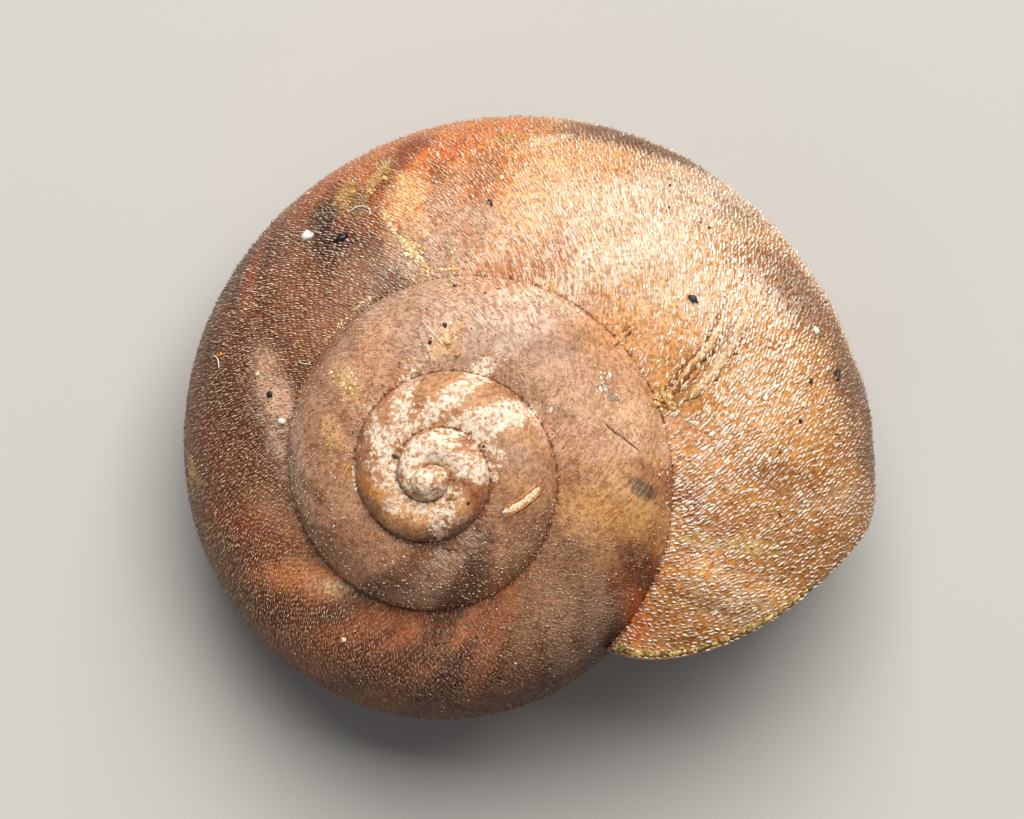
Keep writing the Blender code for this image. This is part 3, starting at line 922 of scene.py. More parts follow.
# The nucleus: the rounded first whorl that the snail hatched with, worn down to cream-white lime, at
# the very top of the coil. It is a small dome set into the start of the tube.
BEAD_PIXEL = (423.5, 481.5)
BEAD_RADIUS = 0.00027
BEAD_FLATNESS = 0.62
BEAD_UNEVEN = 0.05
BEAD_TOP_GAP = 0.00001
BEAD_ZONE = (0.0, 0.78, 0.0, 1.0)
BEAD_FROM_SUTURE = 1.0
bpy.ops.object.select_all(action="DESELECT")
bpy.ops.mesh.primitive_uv_sphere_add(segments=48, ring_count=28, radius=BEAD_RADIUS)
bead = bpy.context.object
bead.name = "nucleus_bead"
bead.data.name = "nucleus_bead"
bead_points = np.array([vertex.co for vertex in bead.data.vertices])
bead_lumps = 1.0 + BEAD_UNEVEN * speckle(bead_points, frequency=3.0, offset=70.0)
bead_lumps += 0.5 * BEAD_UNEVEN * speckle(bead_points, frequency=9.0, offset=20.0)
bead_points = bead_points * bead_lumps[:, None]
bead_points[:, 2] *= BEAD_FLATNESS
bead_points = bead_points @ rest_turn.T
bead_top = float(cad_high[2]) - BEAD_TOP_GAP
bead_middle = np.append(BEAD_PLACE[:2], bead_top - bead_points[:, 2].max())
seen_bead = picture_places(bead_middle)
bead_middle[0] += (BEAD_PIXEL[0] - seen_bead[0]) / PIXELS_PER_METRE
bead_middle[1] -= (BEAD_PIXEL[1] - seen_bead[1]) / PIXELS_PER_METRE
bead.data.vertices.foreach_set("co", (bead_points + bead_middle).ravel())
store(bead.data, "tint", np.tile(opaque(APEX_TAN), (len(bead_points), 1)))
store(bead.data, "zone", np.tile(BEAD_ZONE, (len(bead_points), 1)))
store(bead.data, "growth", MM_IN_METRE * bead_points + BEAD_FROM_SUTURE)
bpy.ops.object.shade_smooth()
bead.data.materials.append(skin)
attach(bead, "root")


# The hairs: short horny bristles that grow out of the skin in rows along the growth lines, whole on
# the last turn and rubbed off on the older ones. One bristle is modelled and copied over the turn,
# in one joined mesh for each part of it, with its foot just under the skin.
HAIR_SEED = 11
HAIR_ROW_STEP = math.radians(0.92)
HAIR_GAP = 0.000130
HAIR_LENGTH = 0.00014
HAIR_RADIUS = 0.000019
HAIR_SIDES = 4
HAIR_SINK = 0.000012
HAIR_BEND = 0.30
HAIR_SHANK = 0.62
HAIR_TAPER = 0.95
HAIR_TIP = 0.38
HAIR_GAP_POWER = 0.8
FIRST_HAIR = 0.3
NEXT_ROW_SHIFT = 0.5
HAIR_SCATTER = 0.14
ROW_SCATTER = 0.12
LAST_ROW_SHARE = 1.001
RUBBED_AT_SUTURE = 0.65
RUBBED_REACH_MM = (0.9, 2.4)
LEAN_FORWARD = (0.05, 0.16)
LEAN_DOWN = (1.45, 0.35)
SWIRL = (0.0, 0.5)
LENGTH_SPREAD = (0.7, 1.2)
THICKNESS_SPREAD = (0.6, 1.3)
LEFT_RIM_DARKER = 0.6
DARK_SKIN_DARKER = 0.75
DARK_SKIN = (0.05, 0.20)
PALE_LIMITS = (0.02, 0.97)
HAIR_BRIGHTER = 1.1
HAIRS_START = math.radians(-0.3)
NEXT_WHORL_GAP = 0.00006
HAIR_PARTS = ("hairs_lip", "hairs_upper_right", "hairs_top", "hairs_left", "hairs_lower_left",
              "hairs_bottom")

bpy.ops.object.select_all(action="DESELECT")
bpy.ops.mesh.primitive_circle_add(vertices=HAIR_SIDES, radius=HAIR_RADIUS, fill_type="NGON")
bristle = bpy.context.object
bpy.ops.object.mode_set(mode="EDIT")
bpy.ops.mesh.select_all(action="SELECT")
bpy.ops.mesh.extrude_region_move(TRANSFORM_OT_translate={"value": (0.0, 0.0, HAIR_SHANK * HAIR_LENGTH)})
bpy.ops.transform.resize(value=(HAIR_TAPER, HAIR_TAPER, 1.0))
bpy.ops.mesh.extrude_region_move(TRANSFORM_OT_translate={"value": (0.0, 0.0, HAIR_TIP * HAIR_LENGTH)})
bpy.ops.mesh.merge(type="CENTER")
bpy.ops.mesh.select_all(action="SELECT")
bpy.ops.mesh.normals_make_consistent(inside=False)
bpy.ops.object.mode_set(mode="OBJECT")


def pattern_from(item):
    """Points and faces of a modelled thing, which is then put away."""
    points = np.array([vertex.co for vertex in item.data.vertices])
    faces = [list(polygon.vertices) for polygon in item.data.polygons]
    bpy.data.objects.remove(item)
    return points, faces


bristle_points, bristle_faces = pattern_from(bristle)
bristle_share = bristle_points[:, 2] / bristle_points[:, 2].max()
bristle_points[:, 0] += HAIR_BEND * HAIR_LENGTH * bristle_share ** 2

dice = np.random.default_rng(HAIR_SEED)
hair_rows = []
hair_columns = []
for number, hair_turn in enumerate(np.arange(HAIRS_START, HAIR_ENDS, -HAIR_ROW_STEP)):
    hair_row = np.interp(hair_turn, outside_turns, np.arange(OUTSIDE_ROWS))
    before = int(hair_row)
    growing = line_length[before + 1, :EXPOSED] - line_length[before, :EXPOSED]
    lengths = line_length[before, :EXPOSED] + (hair_row - before) * growing
    gap = HAIR_GAP * float(coil_size(hair_turn)) ** HAIR_GAP_POWER
    places = np.arange(gap * (FIRST_HAIR + NEXT_ROW_SHIFT * (number % 2)), lengths[-1], gap)
    places = places + dice.normal(0.0, HAIR_SCATTER * gap, len(places))
    hair_columns.append(np.interp(places, lengths, np.arange(EXPOSED)))
    hair_rows.append(hair_row + dice.normal(0.0, ROW_SCATTER, len(places)))
hair_rows = np.clip(np.concatenate(hair_rows), 0.0, OUTSIDE_ROWS - LAST_ROW_SHARE)
hair_columns = np.clip(np.concatenate(hair_columns), 0.0, EXPOSED - LAST_ROW_SHARE)


def on_shell(grid, rows, columns):
    """Values between the rows and columns of the shell's own sheet."""
    first_row = rows.astype(int)
    first_column = columns.astype(int)
    row_share = rows - first_row
    column_part = columns - first_column
    if grid.ndim == 3:
        row_share = row_share[:, None]
        column_part = column_part[:, None]
    upper = grid[first_row, first_column] * (1.0 - column_part)
    upper = upper + grid[first_row, first_column + 1] * column_part
    lower = grid[first_row + 1, first_column] * (1.0 - column_part)
    lower = lower + grid[first_row + 1, first_column + 1] * column_part
    return upper * (1.0 - row_share) + lower * row_share


hair_back = on_shell(back, hair_rows, hair_columns)
hair_turn = on_shell(turn, hair_rows, hair_columns)
hair_around = on_shell(around, hair_rows, hair_columns)
hair_from_suture = MM_IN_METRE * on_shell(line_length, hair_rows, hair_columns)
foot_radius, foot_height, foot_out, foot_up, _ = tube_point(hair_turn, hair_around, HAIR_HEIGHT)
covered = outside_whorl(
    foot_radius + foot_out, foot_height + foot_up, hair_back + FULL_TURN, clearance=NEXT_WHORL_GAP) < 0.0
covered &= hair_turn < -FULL_TURN


def eased(angles, low, high):
    """None below one angle and one above another, both in degrees."""
    return smooth_step(angles, low=math.radians(low), high=math.radians(high))


rubbed_near_suture = RUBBED_AT_SUTURE * (1.0 - smooth_step(hair_from_suture, *RUBBED_REACH_MM))
rubbed_near_suture *= eased(hair_turn, low=-150.0, high=-125.0)
rubbed_near_suture *= 1.0 - eased(hair_turn, low=-62.0, high=-45.0)
thinned = by_turn(hair_turn, {-130.0: 0.97, -100.0: 0.85, -70.0: 0.97, -42.0: 0.97, -28.0: 0.82})
left = thinned * hairiness(hair_back) * (1.0 - rubbed_near_suture)
kept = (dice.random(len(hair_rows)) < left) & ~covered
hair_rows, hair_columns = hair_rows[kept], hair_columns[kept]
hair_back, hair_turn, hair_around = hair_back[kept], hair_turn[kept], hair_around[kept]
feet = on_shell(skin_rows, hair_rows, hair_columns)
down_line = unit(on_shell(down_rows, hair_rows, hair_columns))
forward = unit(on_shell(forward_rows, hair_rows, hair_columns))
outward = unit(np.cross(forward, down_line))
hair_count = len(feet)
lean_forward = dice.normal(*LEAN_FORWARD, hair_count)[:, None]
lean_down = dice.normal(*LEAN_DOWN, hair_count)[:, None]
rise_axis = unit(outward + lean_forward * forward + lean_down * down_line)
swirl = dice.normal(*SWIRL, hair_count)[:, None]
bend_axis = unit(down_line * np.cos(swirl) + forward * np.sin(swirl))
bend_axis = unit(bend_axis - np.sum(bend_axis * rise_axis, axis=1, keepdims=True) * rise_axis)
third_axis = np.cross(rise_axis, bend_axis)
hair_long = by_turn(hair_turn, {
    -390.0: 0.46, -200.0: 0.58, -110.0: 0.70, -75.0: 0.90, -42.0: 0.92, -30.0: 0.76, 0.0: 0.74})
hair_thick = by_turn(hair_turn, {
    -390.0: 0.42, -200.0: 0.52, -130.0: 0.70, -90.0: 1.00, -65.0: 1.55, -40.0: 1.60, -28.0: 1.20, 0.0: 1.15})
hair_long = (hair_long * dice.uniform(*LENGTH_SPREAD, hair_count))[:, None, None]
hair_thick = (hair_thick * dice.uniform(*THICKNESS_SPREAD, hair_count))[:, None, None]
pale_share = by_turn(hair_turn, {
    -390.0: 0.42, -290.0: 0.34, -240.0: 0.56, -150.0: 0.60, -110.0: 0.74, -50.0: 0.80, 0.0: 0.62})
rim_share = by_turn(hair_turn, {-90.0: 0.5, -60.0: 0.88})
pale_share *= rim_share + (1.0 - rim_share) * eased(hair_around, low=0.0, high=45.0)
at_rim = 1.0 - eased(hair_around, low=0.0, high=60.0)
pale_share *= 1.0 - LEFT_RIM_DARKER * at_rim * eased(-hair_turn, low=225.0, high=255.0)
hair_skin = on_shell(tint, hair_rows, hair_columns)
uneven = by_turn(hair_turn, {-160.0: 0.75, -90.0: 0.45, -50.0: 0.40, -20.0: 0.60})
pale_share *= 1.0 + uneven * dice.uniform(-1.0, 1.0, hair_count)
on_dark = 1.0 - smooth_step(hair_skin.mean(axis=1), *DARK_SKIN)
pale_share *= 1.0 - DARK_SKIN_DARKER * on_dark * eased(hair_turn, low=-150.0, high=-120.0)
pale_share = np.clip(pale_share, *PALE_LIMITS)[:, None]
hair_light = np.stack([
    by_turn(hair_turn, {-200.0: 0.76, -90.0: 0.91}),
    by_turn(hair_turn, {-200.0: 0.59, -90.0: 0.845}),
    by_turn(hair_turn, {-200.0: 0.40, -90.0: 0.745}),
], axis=1)
hair_tint = hair_skin * HAIR_BRIGHTER + pale_share * (hair_light - hair_skin * HAIR_BRIGHTER)
local = bristle_points - np.array([0.0, 0.0, HAIR_SINK])
spread_out = np.where(bristle_share > 0.5, hair_long[..., 0], hair_thick[..., 0])[..., None]
hair_points = (
    feet[:, None, :]
    + spread_out * local[None, :, 0:1] * bend_axis[:, None, :]
    + hair_thick * local[None, :, 1:2] * third_axis[:, None, :]
    + hair_long * local[None, :, 2:3] * rise_axis[:, None, :]
)
hair_points = above_floor(hair_points)

HAIR_DARKER = (0.72, 0.62, 0.52)
HAIR_GLOW_REACH = (1.0, 0.7, 0.45)
hair_horn, tree, surface = new_material("hair_horn")
shade = attribute_node(tree, "tint").outputs["Color"]
hair_grain = noise_node(tree, object_places(tree), scale=16000.0, detail=2.0, roughness=0.5)
hair_dark = shaded_by(tree, shade, HAIR_DARKER)
hair_colour = colour_node(tree, range_node(tree, hair_grain, low=0.38, high=0.58), hair_dark, shade)
tree.links.new(hair_colour, surface.inputs["Base Color"])
surface.inputs["Roughness"].default_value = 0.42
surface.inputs["Specular IOR Level"].default_value = 0.4
surface.inputs["Subsurface Weight"].default_value = 0.35
surface.inputs["Subsurface Radius"].default_value = HAIR_GLOW_REACH
surface.inputs["Subsurface Scale"].default_value = 0.00004


def add_piece(name, points, faces, colours, material):
    """One mesh piece of the shell, from its points, faces and a colour for each point."""
    mesh = bpy.data.meshes.new(name)
    mesh.from_pydata(points, [], faces)
    store(mesh, "tint", opaque(colours))
    mesh.shade_smooth()
    made = bpy.data.objects.new(name, mesh)
    bpy.context.scene.collection.objects.link(made)
    mesh.materials.append(material)
    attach(made, "root")
    return made


def repeated(faces, points_each, copies):
    """The faces of so many copies of one thing, joined in a row."""
    starts = range(0, points_each * copies, points_each)
    return [[corner + start for corner in face] for start in starts for face in faces]


by_age = np.argsort(-hair_back, kind="stable")
for name, chosen in zip(HAIR_PARTS, np.array_split(by_age, len(HAIR_PARTS))):
    points_each = len(bristle_points)
    faces = repeated(bristle_faces, points_each, len(chosen))
    colours = np.repeat(hair_tint[chosen], points_each, axis=0)
    hairs = add_piece(name, hair_points[chosen].reshape(-1, 3), faces, colours, hair_horn)
    edge_ends = np.zeros(2 * len(hairs.data.edges), dtype=np.int32)
    hairs.data.edges.foreach_get("vertices", edge_ends)
    foot_edges = np.all(edge_ends.reshape(-1, 2) % points_each < HAIR_SIDES, axis=1)
    hairs.data.attributes.new("sharp_edge", "BOOLEAN", "EDGE").data.foreach_set("value", foot_edges)


# Loose things stuck to the skin: black crumbs of soil and pale grains of lime and sand, each lodged
# among the hairs. A crumb is a small rounded lump; every one is a reshaped copy of it.
CRUMB_SEED = 23
CRUMB_SINK = 0.25
CRUMB_UNEVEN = 0.22
CRUMB_FLATNESS = 0.6
LENGTH_IN_THICKNESS = 0.3
CRUMB_TONES = (0.8, 1.15)

bpy.ops.object.select_all(action="DESELECT")
bpy.ops.mesh.primitive_ico_sphere_add(subdivisions=2, radius=1.0)
lump_points, lump_faces = pattern_from(bpy.context.object)
crumb_dice = np.random.default_rng(CRUMB_SEED)


def skin_frame(row_at, column_at):
    """Point on the skin with its directions out, along the coil and down the growth line."""
    rows = np.array([row_at])
    columns = np.array([column_at])
    ahead = unit(on_shell(forward_rows, rows, columns))[0]
    down_line = unit(on_shell(down_rows, rows, columns))[0]
    outward = unit(np.cross(ahead, down_line))
    return on_shell(skin_rows, rows, columns)[0], outward, ahead, down_line


def crumb(row_at, column_at, length, width, angle, colour, rough=CRUMB_UNEVEN):
    """Points and colours of one crumb, in metres, its long side turned by an angle on the skin."""
    place, outward, ahead, down_line = skin_frame(row_at, column_at)
    long_axis = math.cos(angle) * ahead + math.sin(angle) * down_line
    side_axis = np.cross(outward, long_axis)
    bumps = 1.0 + rough * crumb_dice.normal(0.0, 1.0, len(lump_points))[:, None]
    shaped = lump_points * bumps
    thick = 0.5 * (width + LENGTH_IN_THICKNESS * length) * CRUMB_FLATNESS
    points = (
        place + outward * thick * (1.0 - 2.0 * CRUMB_SINK)
        + 0.5 * length * shaped[:, 0:1] * long_axis
        + 0.5 * width * shaped[:, 1:2] * side_axis
        + thick * shaped[:, 2:3] * outward
    )
    tone = crumb_dice.uniform(*CRUMB_TONES)
    return above_floor(points), np.tile(np.clip(colour * tone, 0.0, 1.0), (len(points), 1))


def joined_crumbs(name, crumbs, material, faces_of_one=lump_faces):
    """One piece of many crumbs, each with its own colour, lying on the shell."""
    faces = repeated(faces_of_one, len(crumbs[0][0]), len(crumbs))
    points = np.concatenate([points for points, _ in crumbs])
    colours = np.concatenate([colours for _, colours in crumbs])
    add_piece(name, points, faces, colours, material)


def crumb_material(name, roughness, darkest):
    """Grainy matter that takes its colour from each crumb."""
    made, tree, surface = new_material(name)
    colour = attribute_node(tree, "tint").outputs["Color"]
    grain = noise_node(tree, object_places(tree), scale=22000.0, detail=3.0, roughness=0.6)
    shaded = shaded_by(tree, colour, darkest)
    mixed = colour_node(tree, range_node(tree, grain, low=0.36, high=0.60), shaded, colour)
    tree.links.new(mixed, surface.inputs["Base Color"])
    surface.inputs["Roughness"].default_value = roughness
    rough_up(tree, surface, grain, strength=0.6, depth=0.00001)
    return made


SOIL_BLACK = paint(34, 32, 34)
SAND_WHITE = paint(238, 232, 222)
SAND_CREAM = paint(232, 206, 160)
ORANGE_CRUMB = paint(214, 142, 84)
GREY_GRAIN = paint(150, 144, 140)
soil = crumb_material("black_soil", roughness=0.35, darkest=(0.45, 0.45, 0.48))
grains = crumb_material("sand_grains", roughness=0.5, darkest=(0.72, 0.64, 0.54))
black_bits = []
pale_bits = []


def lay(crumbs, at, length, width, colour, angle=0):
    """One crumb at a pixel, its sizes in millimetres and its angle on the skin in degrees."""
    crumbs.append(crumb(*surface_at(at), length * MM, width * MM, math.radians(angle), colour))


def black_bit(at, length, width, angle=0, colour=SOIL_BLACK):
    lay(black_bits, at, length, width, colour, angle)


def pale_grain(at, length, width, angle=0, colour=SAND_CREAM):
    lay(pale_bits, at, length, width, colour, angle)


black_bit(at=(490, 202), length=0.17, width=0.09, angle=80)
black_bit(at=(341, 239), length=0.28, width=0.15, colour=paint(24, 26, 32))
black_bit(at=(270, 394), length=0.13, width=0.12)
black_bit(at=(693, 299), length=0.30, width=0.17, angle=20, colour=paint(58, 58, 66))
black_bit(at=(701, 223), length=0.10, width=0.07, angle=30)
black_bit(at=(709, 228), length=0.07, width=0.06)
black_bit(at=(670, 186), length=0.10, width=0.06, angle=70)
black_bit(at=(669, 208), length=0.08, width=0.06, angle=10)
black_bit(at=(825, 303), length=0.08, width=0.06)
black_bit(at=(837, 374), length=0.26, width=0.10, angle=120, colour=paint(44, 42, 46))
black_bit(at=(810, 381), length=0.13, width=0.08, angle=80)
black_bit(at=(800, 421), length=0.10, width=0.08)
black_bit(at=(780, 515), length=0.12, width=0.09, angle=40)
black_bit(at=(780, 452), length=0.09, width=0.06, angle=60, colour=paint(60, 46, 34))
black_bit(at=(760, 474), length=0.08, width=0.05, colour=paint(60, 46, 34))
black_bit(at=(752, 640), length=0.10, width=0.07, angle=30, colour=paint(56, 46, 34))
black_bit(at=(700, 652), length=0.10, width=0.08, colour=paint(70, 56, 40))
black_bit(at=(445, 325), length=0.16, width=0.10, angle=70, colour=paint(74, 58, 52))
black_bit(at=(430, 342), length=0.14, width=0.10, angle=30, colour=paint(70, 56, 50))
black_bit(at=(455, 286), length=0.09, width=0.07, colour=paint(84, 76, 74))
black_bit(at=(485, 277), length=0.09, width=0.07, colour=paint(84, 76, 74))
black_bit(at=(485, 293), length=0.10, width=0.07, angle=50, colour=paint(84, 76, 74))
black_bit(at=(404, 487), length=0.09, width=0.08, colour=paint(62, 52, 46))
black_bit(at=(468, 503), length=0.08, width=0.06, colour=paint(62, 44, 34))
black_bit(at=(484, 446), length=0.07, width=0.05, colour=paint(80, 44, 30))
black_bit(at=(395, 456), length=0.12, width=0.07, angle=80, colour=paint(66, 50, 46))
joined_crumbs("black_bits", black_bits, soil)

pale_grain(at=(308, 237), length=0.26, width=0.19, angle=160, colour=paint(246, 240, 240))
pale_grain(at=(662, 400), length=0.28, width=0.24, angle=30, colour=paint(222, 182, 112))
pale_grain(at=(815, 331), length=0.17, width=0.14, colour=SAND_WHITE)
pale_grain(at=(779, 343), length=0.09, width=0.08, colour=SAND_WHITE)
pale_grain(at=(803, 405), length=0.13, width=0.11, colour=SAND_WHITE)
pale_grain(at=(836, 433), length=0.15, width=0.12, angle=40, colour=ORANGE_CRUMB)
pale_grain(at=(828, 428), length=0.08, width=0.07, colour=ORANGE_CRUMB)
pale_grain(at=(805, 263), length=0.11, width=0.09)
pale_grain(at=(796, 246), length=0.14, width=0.10, angle=30, colour=SAND_WHITE)
pale_grain(at=(305, 203), length=0.10, width=0.08, colour=ORANGE_CRUMB)
pale_grain(at=(308, 194), length=0.09, width=0.08)
pale_grain(at=(273, 332), length=0.14, width=0.07, angle=70, colour=paint(226, 192, 92))
pale_grain(at=(221, 355), length=0.12, width=0.07, angle=90, colour=paint(206, 134, 60))
pale_grain(at=(258, 374), length=0.10, width=0.09)
pale_grain(at=(262, 384), length=0.07, width=0.07, colour=ORANGE_CRUMB)
pale_grain(at=(344, 640), length=0.12, width=0.10)
pale_grain(at=(282, 421), length=0.16, width=0.12, angle=90, colour=SAND_WHITE)
pale_grain(at=(341, 587), length=0.14, width=0.08)
pale_grain(at=(502, 178), length=0.12, width=0.10)
pale_grain(at=(248, 270), length=0.08, width=0.07)
pale_grain(at=(663, 427), length=0.09, width=0.08, colour=SAND_WHITE)
pale_grain(at=(659, 475), length=0.07, width=0.06)
pale_grain(at=(461, 435), length=0.12, width=0.11, colour=SAND_WHITE)
pale_grain(at=(437, 431), length=0.11, width=0.10)
pale_grain(at=(447, 342), length=0.13, width=0.12, colour=paint(222, 188, 128))
pale_grain(at=(458, 354), length=0.16, width=0.12, angle=20, colour=paint(214, 166, 100))
joined_crumbs("sand_and_lime_grains", pale_bits, grains)


# Dust: specks of sand and lime caught all over the skin, thickest along the sutures and on the
# lower left side. One small twenty-sided speck is modelled and copied at random places.
DUST_SEED = 5
SPECK_COUNT = 9500
SPECK_SIZES = (0.000007, 0.000020)
SPECK_UNEVEN = 0.3
SPECK_WIDTHS = (0.6, 1.4)
SPECK_FLATNESS = 0.7
SPECK_TONES = (0.7, 1.1)
SPECK_TRIES = 5 * SPECK_COUNT
EARLIEST_SPECK = 0.3
TOWARD_APEX = 0.8
BELOW_TOP_COLUMNS = 8.0
CHANCE_ANYWHERE = 0.10
CHANCE_AT_SUTURE = 0.9
SUTURE_REACH_MM = 0.12
CHANCE_ON_LEFT = 0.25
CHANCE_ON_OLD_WHORLS = 0.35
bpy.ops.object.select_all(action="DESELECT")
bpy.ops.mesh.primitive_ico_sphere_add(subdivisions=1, radius=1.0)
speck_points, speck_faces = pattern_from(bpy.context.object)
dust_dice = np.random.default_rng(DUST_SEED)
speck_rows = dust_dice.uniform(EARLIEST_SPECK, 1.0, SPECK_TRIES) ** TOWARD_APEX * (OUTSIDE_ROWS - 2)
speck_columns = dust_dice.uniform(0.0, TOP_COLUMNS + BELOW_TOP_COLUMNS, SPECK_TRIES)
speck_turn = on_shell(turn, speck_rows, speck_columns)
speck_reach = MM_IN_METRE * on_shell(line_length, speck_rows, speck_columns)
speck_chance = CHANCE_ANYWHERE + CHANCE_AT_SUTURE * np.exp(-((speck_reach / SUTURE_REACH_MM) ** 2))
speck_chance += CHANCE_ON_LEFT * eased(-speck_turn, low=130.0, high=200.0)
speck_chance += CHANCE_ON_OLD_WHORLS * eased(-speck_turn, low=380.0, high=420.0)
kept = dust_dice.random(len(speck_rows)) < speck_chance
kept &= np.cumsum(kept) <= SPECK_COUNT
speck_colours = (SAND_WHITE, SAND_CREAM, paint(186, 160, 130), paint(206, 150, 96), SAND_CREAM,
                 paint(132, 102, 76),
                 paint(160, 128, 96))
specks = []
for row_at, column_at in zip(speck_rows[kept], speck_columns[kept]):
    place, outward, ahead, down_line = skin_frame(row_at, column_at)
    speck_size = dust_dice.uniform(*SPECK_SIZES)
    shaped = speck_points * (1.0 + SPECK_UNEVEN * dust_dice.normal(0.0, 1.0, (len(speck_points), 1)))
    points = place + outward * 0.5 * speck_size + speck_size * (
        shaped[:, 0:1] * ahead
        + dust_dice.uniform(*SPECK_WIDTHS) * shaped[:, 1:2] * down_line
        + SPECK_FLATNESS * shaped[:, 2:3] * outward
    )
    colour = speck_colours[dust_dice.integers(len(speck_colours))] * dust_dice.uniform(*SPECK_TONES)
    specks.append((above_floor(points), np.tile(np.clip(colour, 0.0, 1.0), (len(points), 1))))
joined_crumbs("dust_specks", specks, grains, speck_faces)


# Flakes and crusts: thin scales of lime and dried mud that stick in lines and patches on the skin,
# where the surface is cracked or worn. Each is a flattened copy of the rounded lump.
FLAKE_SEED = 31
FLAKE_SINK = 0.3
FLAKE_UNEVEN = 0.28
FLAKE_LENGTHS = (1.0, 1.8)
FLAKE_CREAM = paint(236, 208, 150)
FLAKE_PALE = paint(240, 226, 196)
MUD_YELLOW = paint(186, 152, 86)
RIDGE_TAN = paint(214, 172, 116)
RIDGE_PALE = paint(232, 200, 150)
CREAM_MIX = (FLAKE_CREAM, FLAKE_PALE, paint(222, 186, 120))
YELLOW_MIX = (MUD_YELLOW, paint(206, 176, 104), paint(168, 130, 66))
TAN_MIX = (RIDGE_TAN, RIDGE_PALE, paint(196, 146, 92))
SCAR_MIX = (paint(186, 124, 66), paint(206, 152, 92), paint(150, 92, 50))
GREY_MIX = (paint(70, 58, 50), GREY_GRAIN, paint(100, 84, 68))
lime_flakes = crumb_material("lime_flakes", roughness=0.55, darkest=(0.66, 0.50, 0.32))
flake_dice = np.random.default_rng(FLAKE_SEED)
flakes = []


def measured(path):
    """A path drawn in the picture, with the distance of each of its points from its start."""
    corners = np.array(path, dtype=float)
    steps = np.linalg.norm(np.diff(corners, axis=0), axis=1)
    return corners, np.concatenate([[0.0], np.cumsum(steps)])


def scatter(path, spread, count, sizes, colours, thin=0.45):
    """Flat crumbs strewn along pixels of the photograph, spread in pixels and sized in millimetres."""
    corners, runs = measured(path)
    for _ in range(count):
        run = flake_dice.uniform(0.0, runs[-1])
        spot = [np.interp(run, runs, corners[:, axis]) + flake_dice.normal(0.0, spread) for axis in range(2)]
        wide = flake_dice.uniform(*sizes) * MM
        points, colour = crumb(
            *surface_at(spot), wide * flake_dice.uniform(*FLAKE_LENGTHS), wide,
            flake_dice.uniform(0.0, math.pi), colours[flake_dice.integers(len(colours))], FLAKE_UNEVEN)
        middle = points.mean(axis=0)
        outward = skin_frame(*surface_at(spot))[1]
        points -= (1.0 - thin) * ((points - middle) @ outward)[:, None] * outward
        points -= (1.0 - thin) * FLAKE_SINK * wide * outward
        flakes.append((points, colour))


scatter(((383, 213), (388, 222), (395, 232), (402, 240)), spread=1.2, count=26,
        sizes=(0.03, 0.07), colours=CREAM_MIX)
scatter(((402, 240), (410, 250), (418, 259)), spread=3.5, count=60, sizes=(0.04, 0.10), colours=CREAM_MIX)
scatter(((416, 254), (424, 264), (432, 273)), spread=1.5, count=30, sizes=(0.03, 0.08), colours=CREAM_MIX)
scatter(((453, 249), (452, 260), (455, 274)), spread=1.5, count=26, sizes=(0.03, 0.07), colours=CREAM_MIX)
scatter(((436, 268), (446, 271), (462, 273)), spread=1.6, count=20, sizes=(0.03, 0.06), colours=CREAM_MIX)
scatter(((556, 283), (554, 290), (556, 298)), spread=1.5, count=22, sizes=(0.03, 0.08), colours=CREAM_MIX)
scatter(((522, 138), (536, 141), (549, 148)), spread=3.0, count=40, sizes=(0.03, 0.08), colours=CREAM_MIX)
scatter(((497, 127), (505, 138), (514, 150)), spread=2.0, count=34, sizes=(0.03, 0.07), colours=YELLOW_MIX)
scatter(((500, 519), (512, 513), (530, 502), (545, 486)), spread=2.2, count=30,
        sizes=(0.02, 0.04), colours=SCAR_MIX)
scatter(((503, 513), (518, 505), (541, 487)), spread=1.2, count=24,
        sizes=(0.02, 0.045), colours=(FLAKE_PALE, SAND_WHITE, FLAKE_CREAM))
scatter(((657, 397), (664, 402), (670, 408)), spread=4.0, count=70,
        sizes=(0.05, 0.12), colours=TAN_MIX, thin=0.8)
scatter(((746, 198), (746, 215), (742, 240)), spread=2.0, count=40, sizes=(0.03, 0.08), colours=YELLOW_MIX)
scatter(((728, 300), (706, 350), (666, 398)), spread=4.0, count=130, sizes=(0.02, 0.07), colours=TAN_MIX)
scatter(((662, 400), (665, 403)), spread=4.5, count=90, sizes=(0.03, 0.09), colours=YELLOW_MIX)
scatter(((735, 330), (718, 364), (674, 409)), spread=3.0, count=60, sizes=(0.02, 0.06), colours=TAN_MIX)
scatter(((325, 341), (345, 319), (358, 306), (372, 297)), spread=1.2, count=46,
        sizes=(0.02, 0.05), colours=CREAM_MIX)
scatter(((356, 492), (353, 476), (355, 462)), spread=1.0, count=34,
        sizes=(0.02, 0.05), colours=(FLAKE_PALE, SAND_WHITE))
scatter(((366, 194), (376, 182), (390, 168)), spread=2.4, count=44, sizes=(0.03, 0.08), colours=YELLOW_MIX)
scatter(((336, 202), (344, 194), (352, 187)), spread=3.2, count=44, sizes=(0.03, 0.08), colours=YELLOW_MIX)
scatter(((193, 456), (191, 470), (192, 486)), spread=1.6, count=30, sizes=(0.03, 0.07), colours=CREAM_MIX)
scatter(((338, 372), (350, 384), (352, 398)), spread=5.0, count=46, sizes=(0.02, 0.06), colours=CREAM_MIX)
scatter(((326, 424), (332, 434), (328, 448)), spread=4.0, count=30, sizes=(0.02, 0.06), colours=YELLOW_MIX)
scatter(((598, 372), (606, 386), (612, 402)), spread=4.5, count=40,
        sizes=(0.02, 0.06), colours=(GREY_GRAIN, SAND_WHITE, SAND_CREAM))
scatter(((664, 425), (666, 460), (669, 520), (664, 560)), spread=1.0, count=46,
        sizes=(0.015, 0.04), colours=(SAND_CREAM, SAND_WHITE))
scatter(((384, 524), (396, 536), (432, 546), (450, 546)), spread=2.4, count=60,
        sizes=(0.02, 0.05), colours=GREY_MIX)
joined_crumbs("lime_flakes", flakes, lime_flakes)


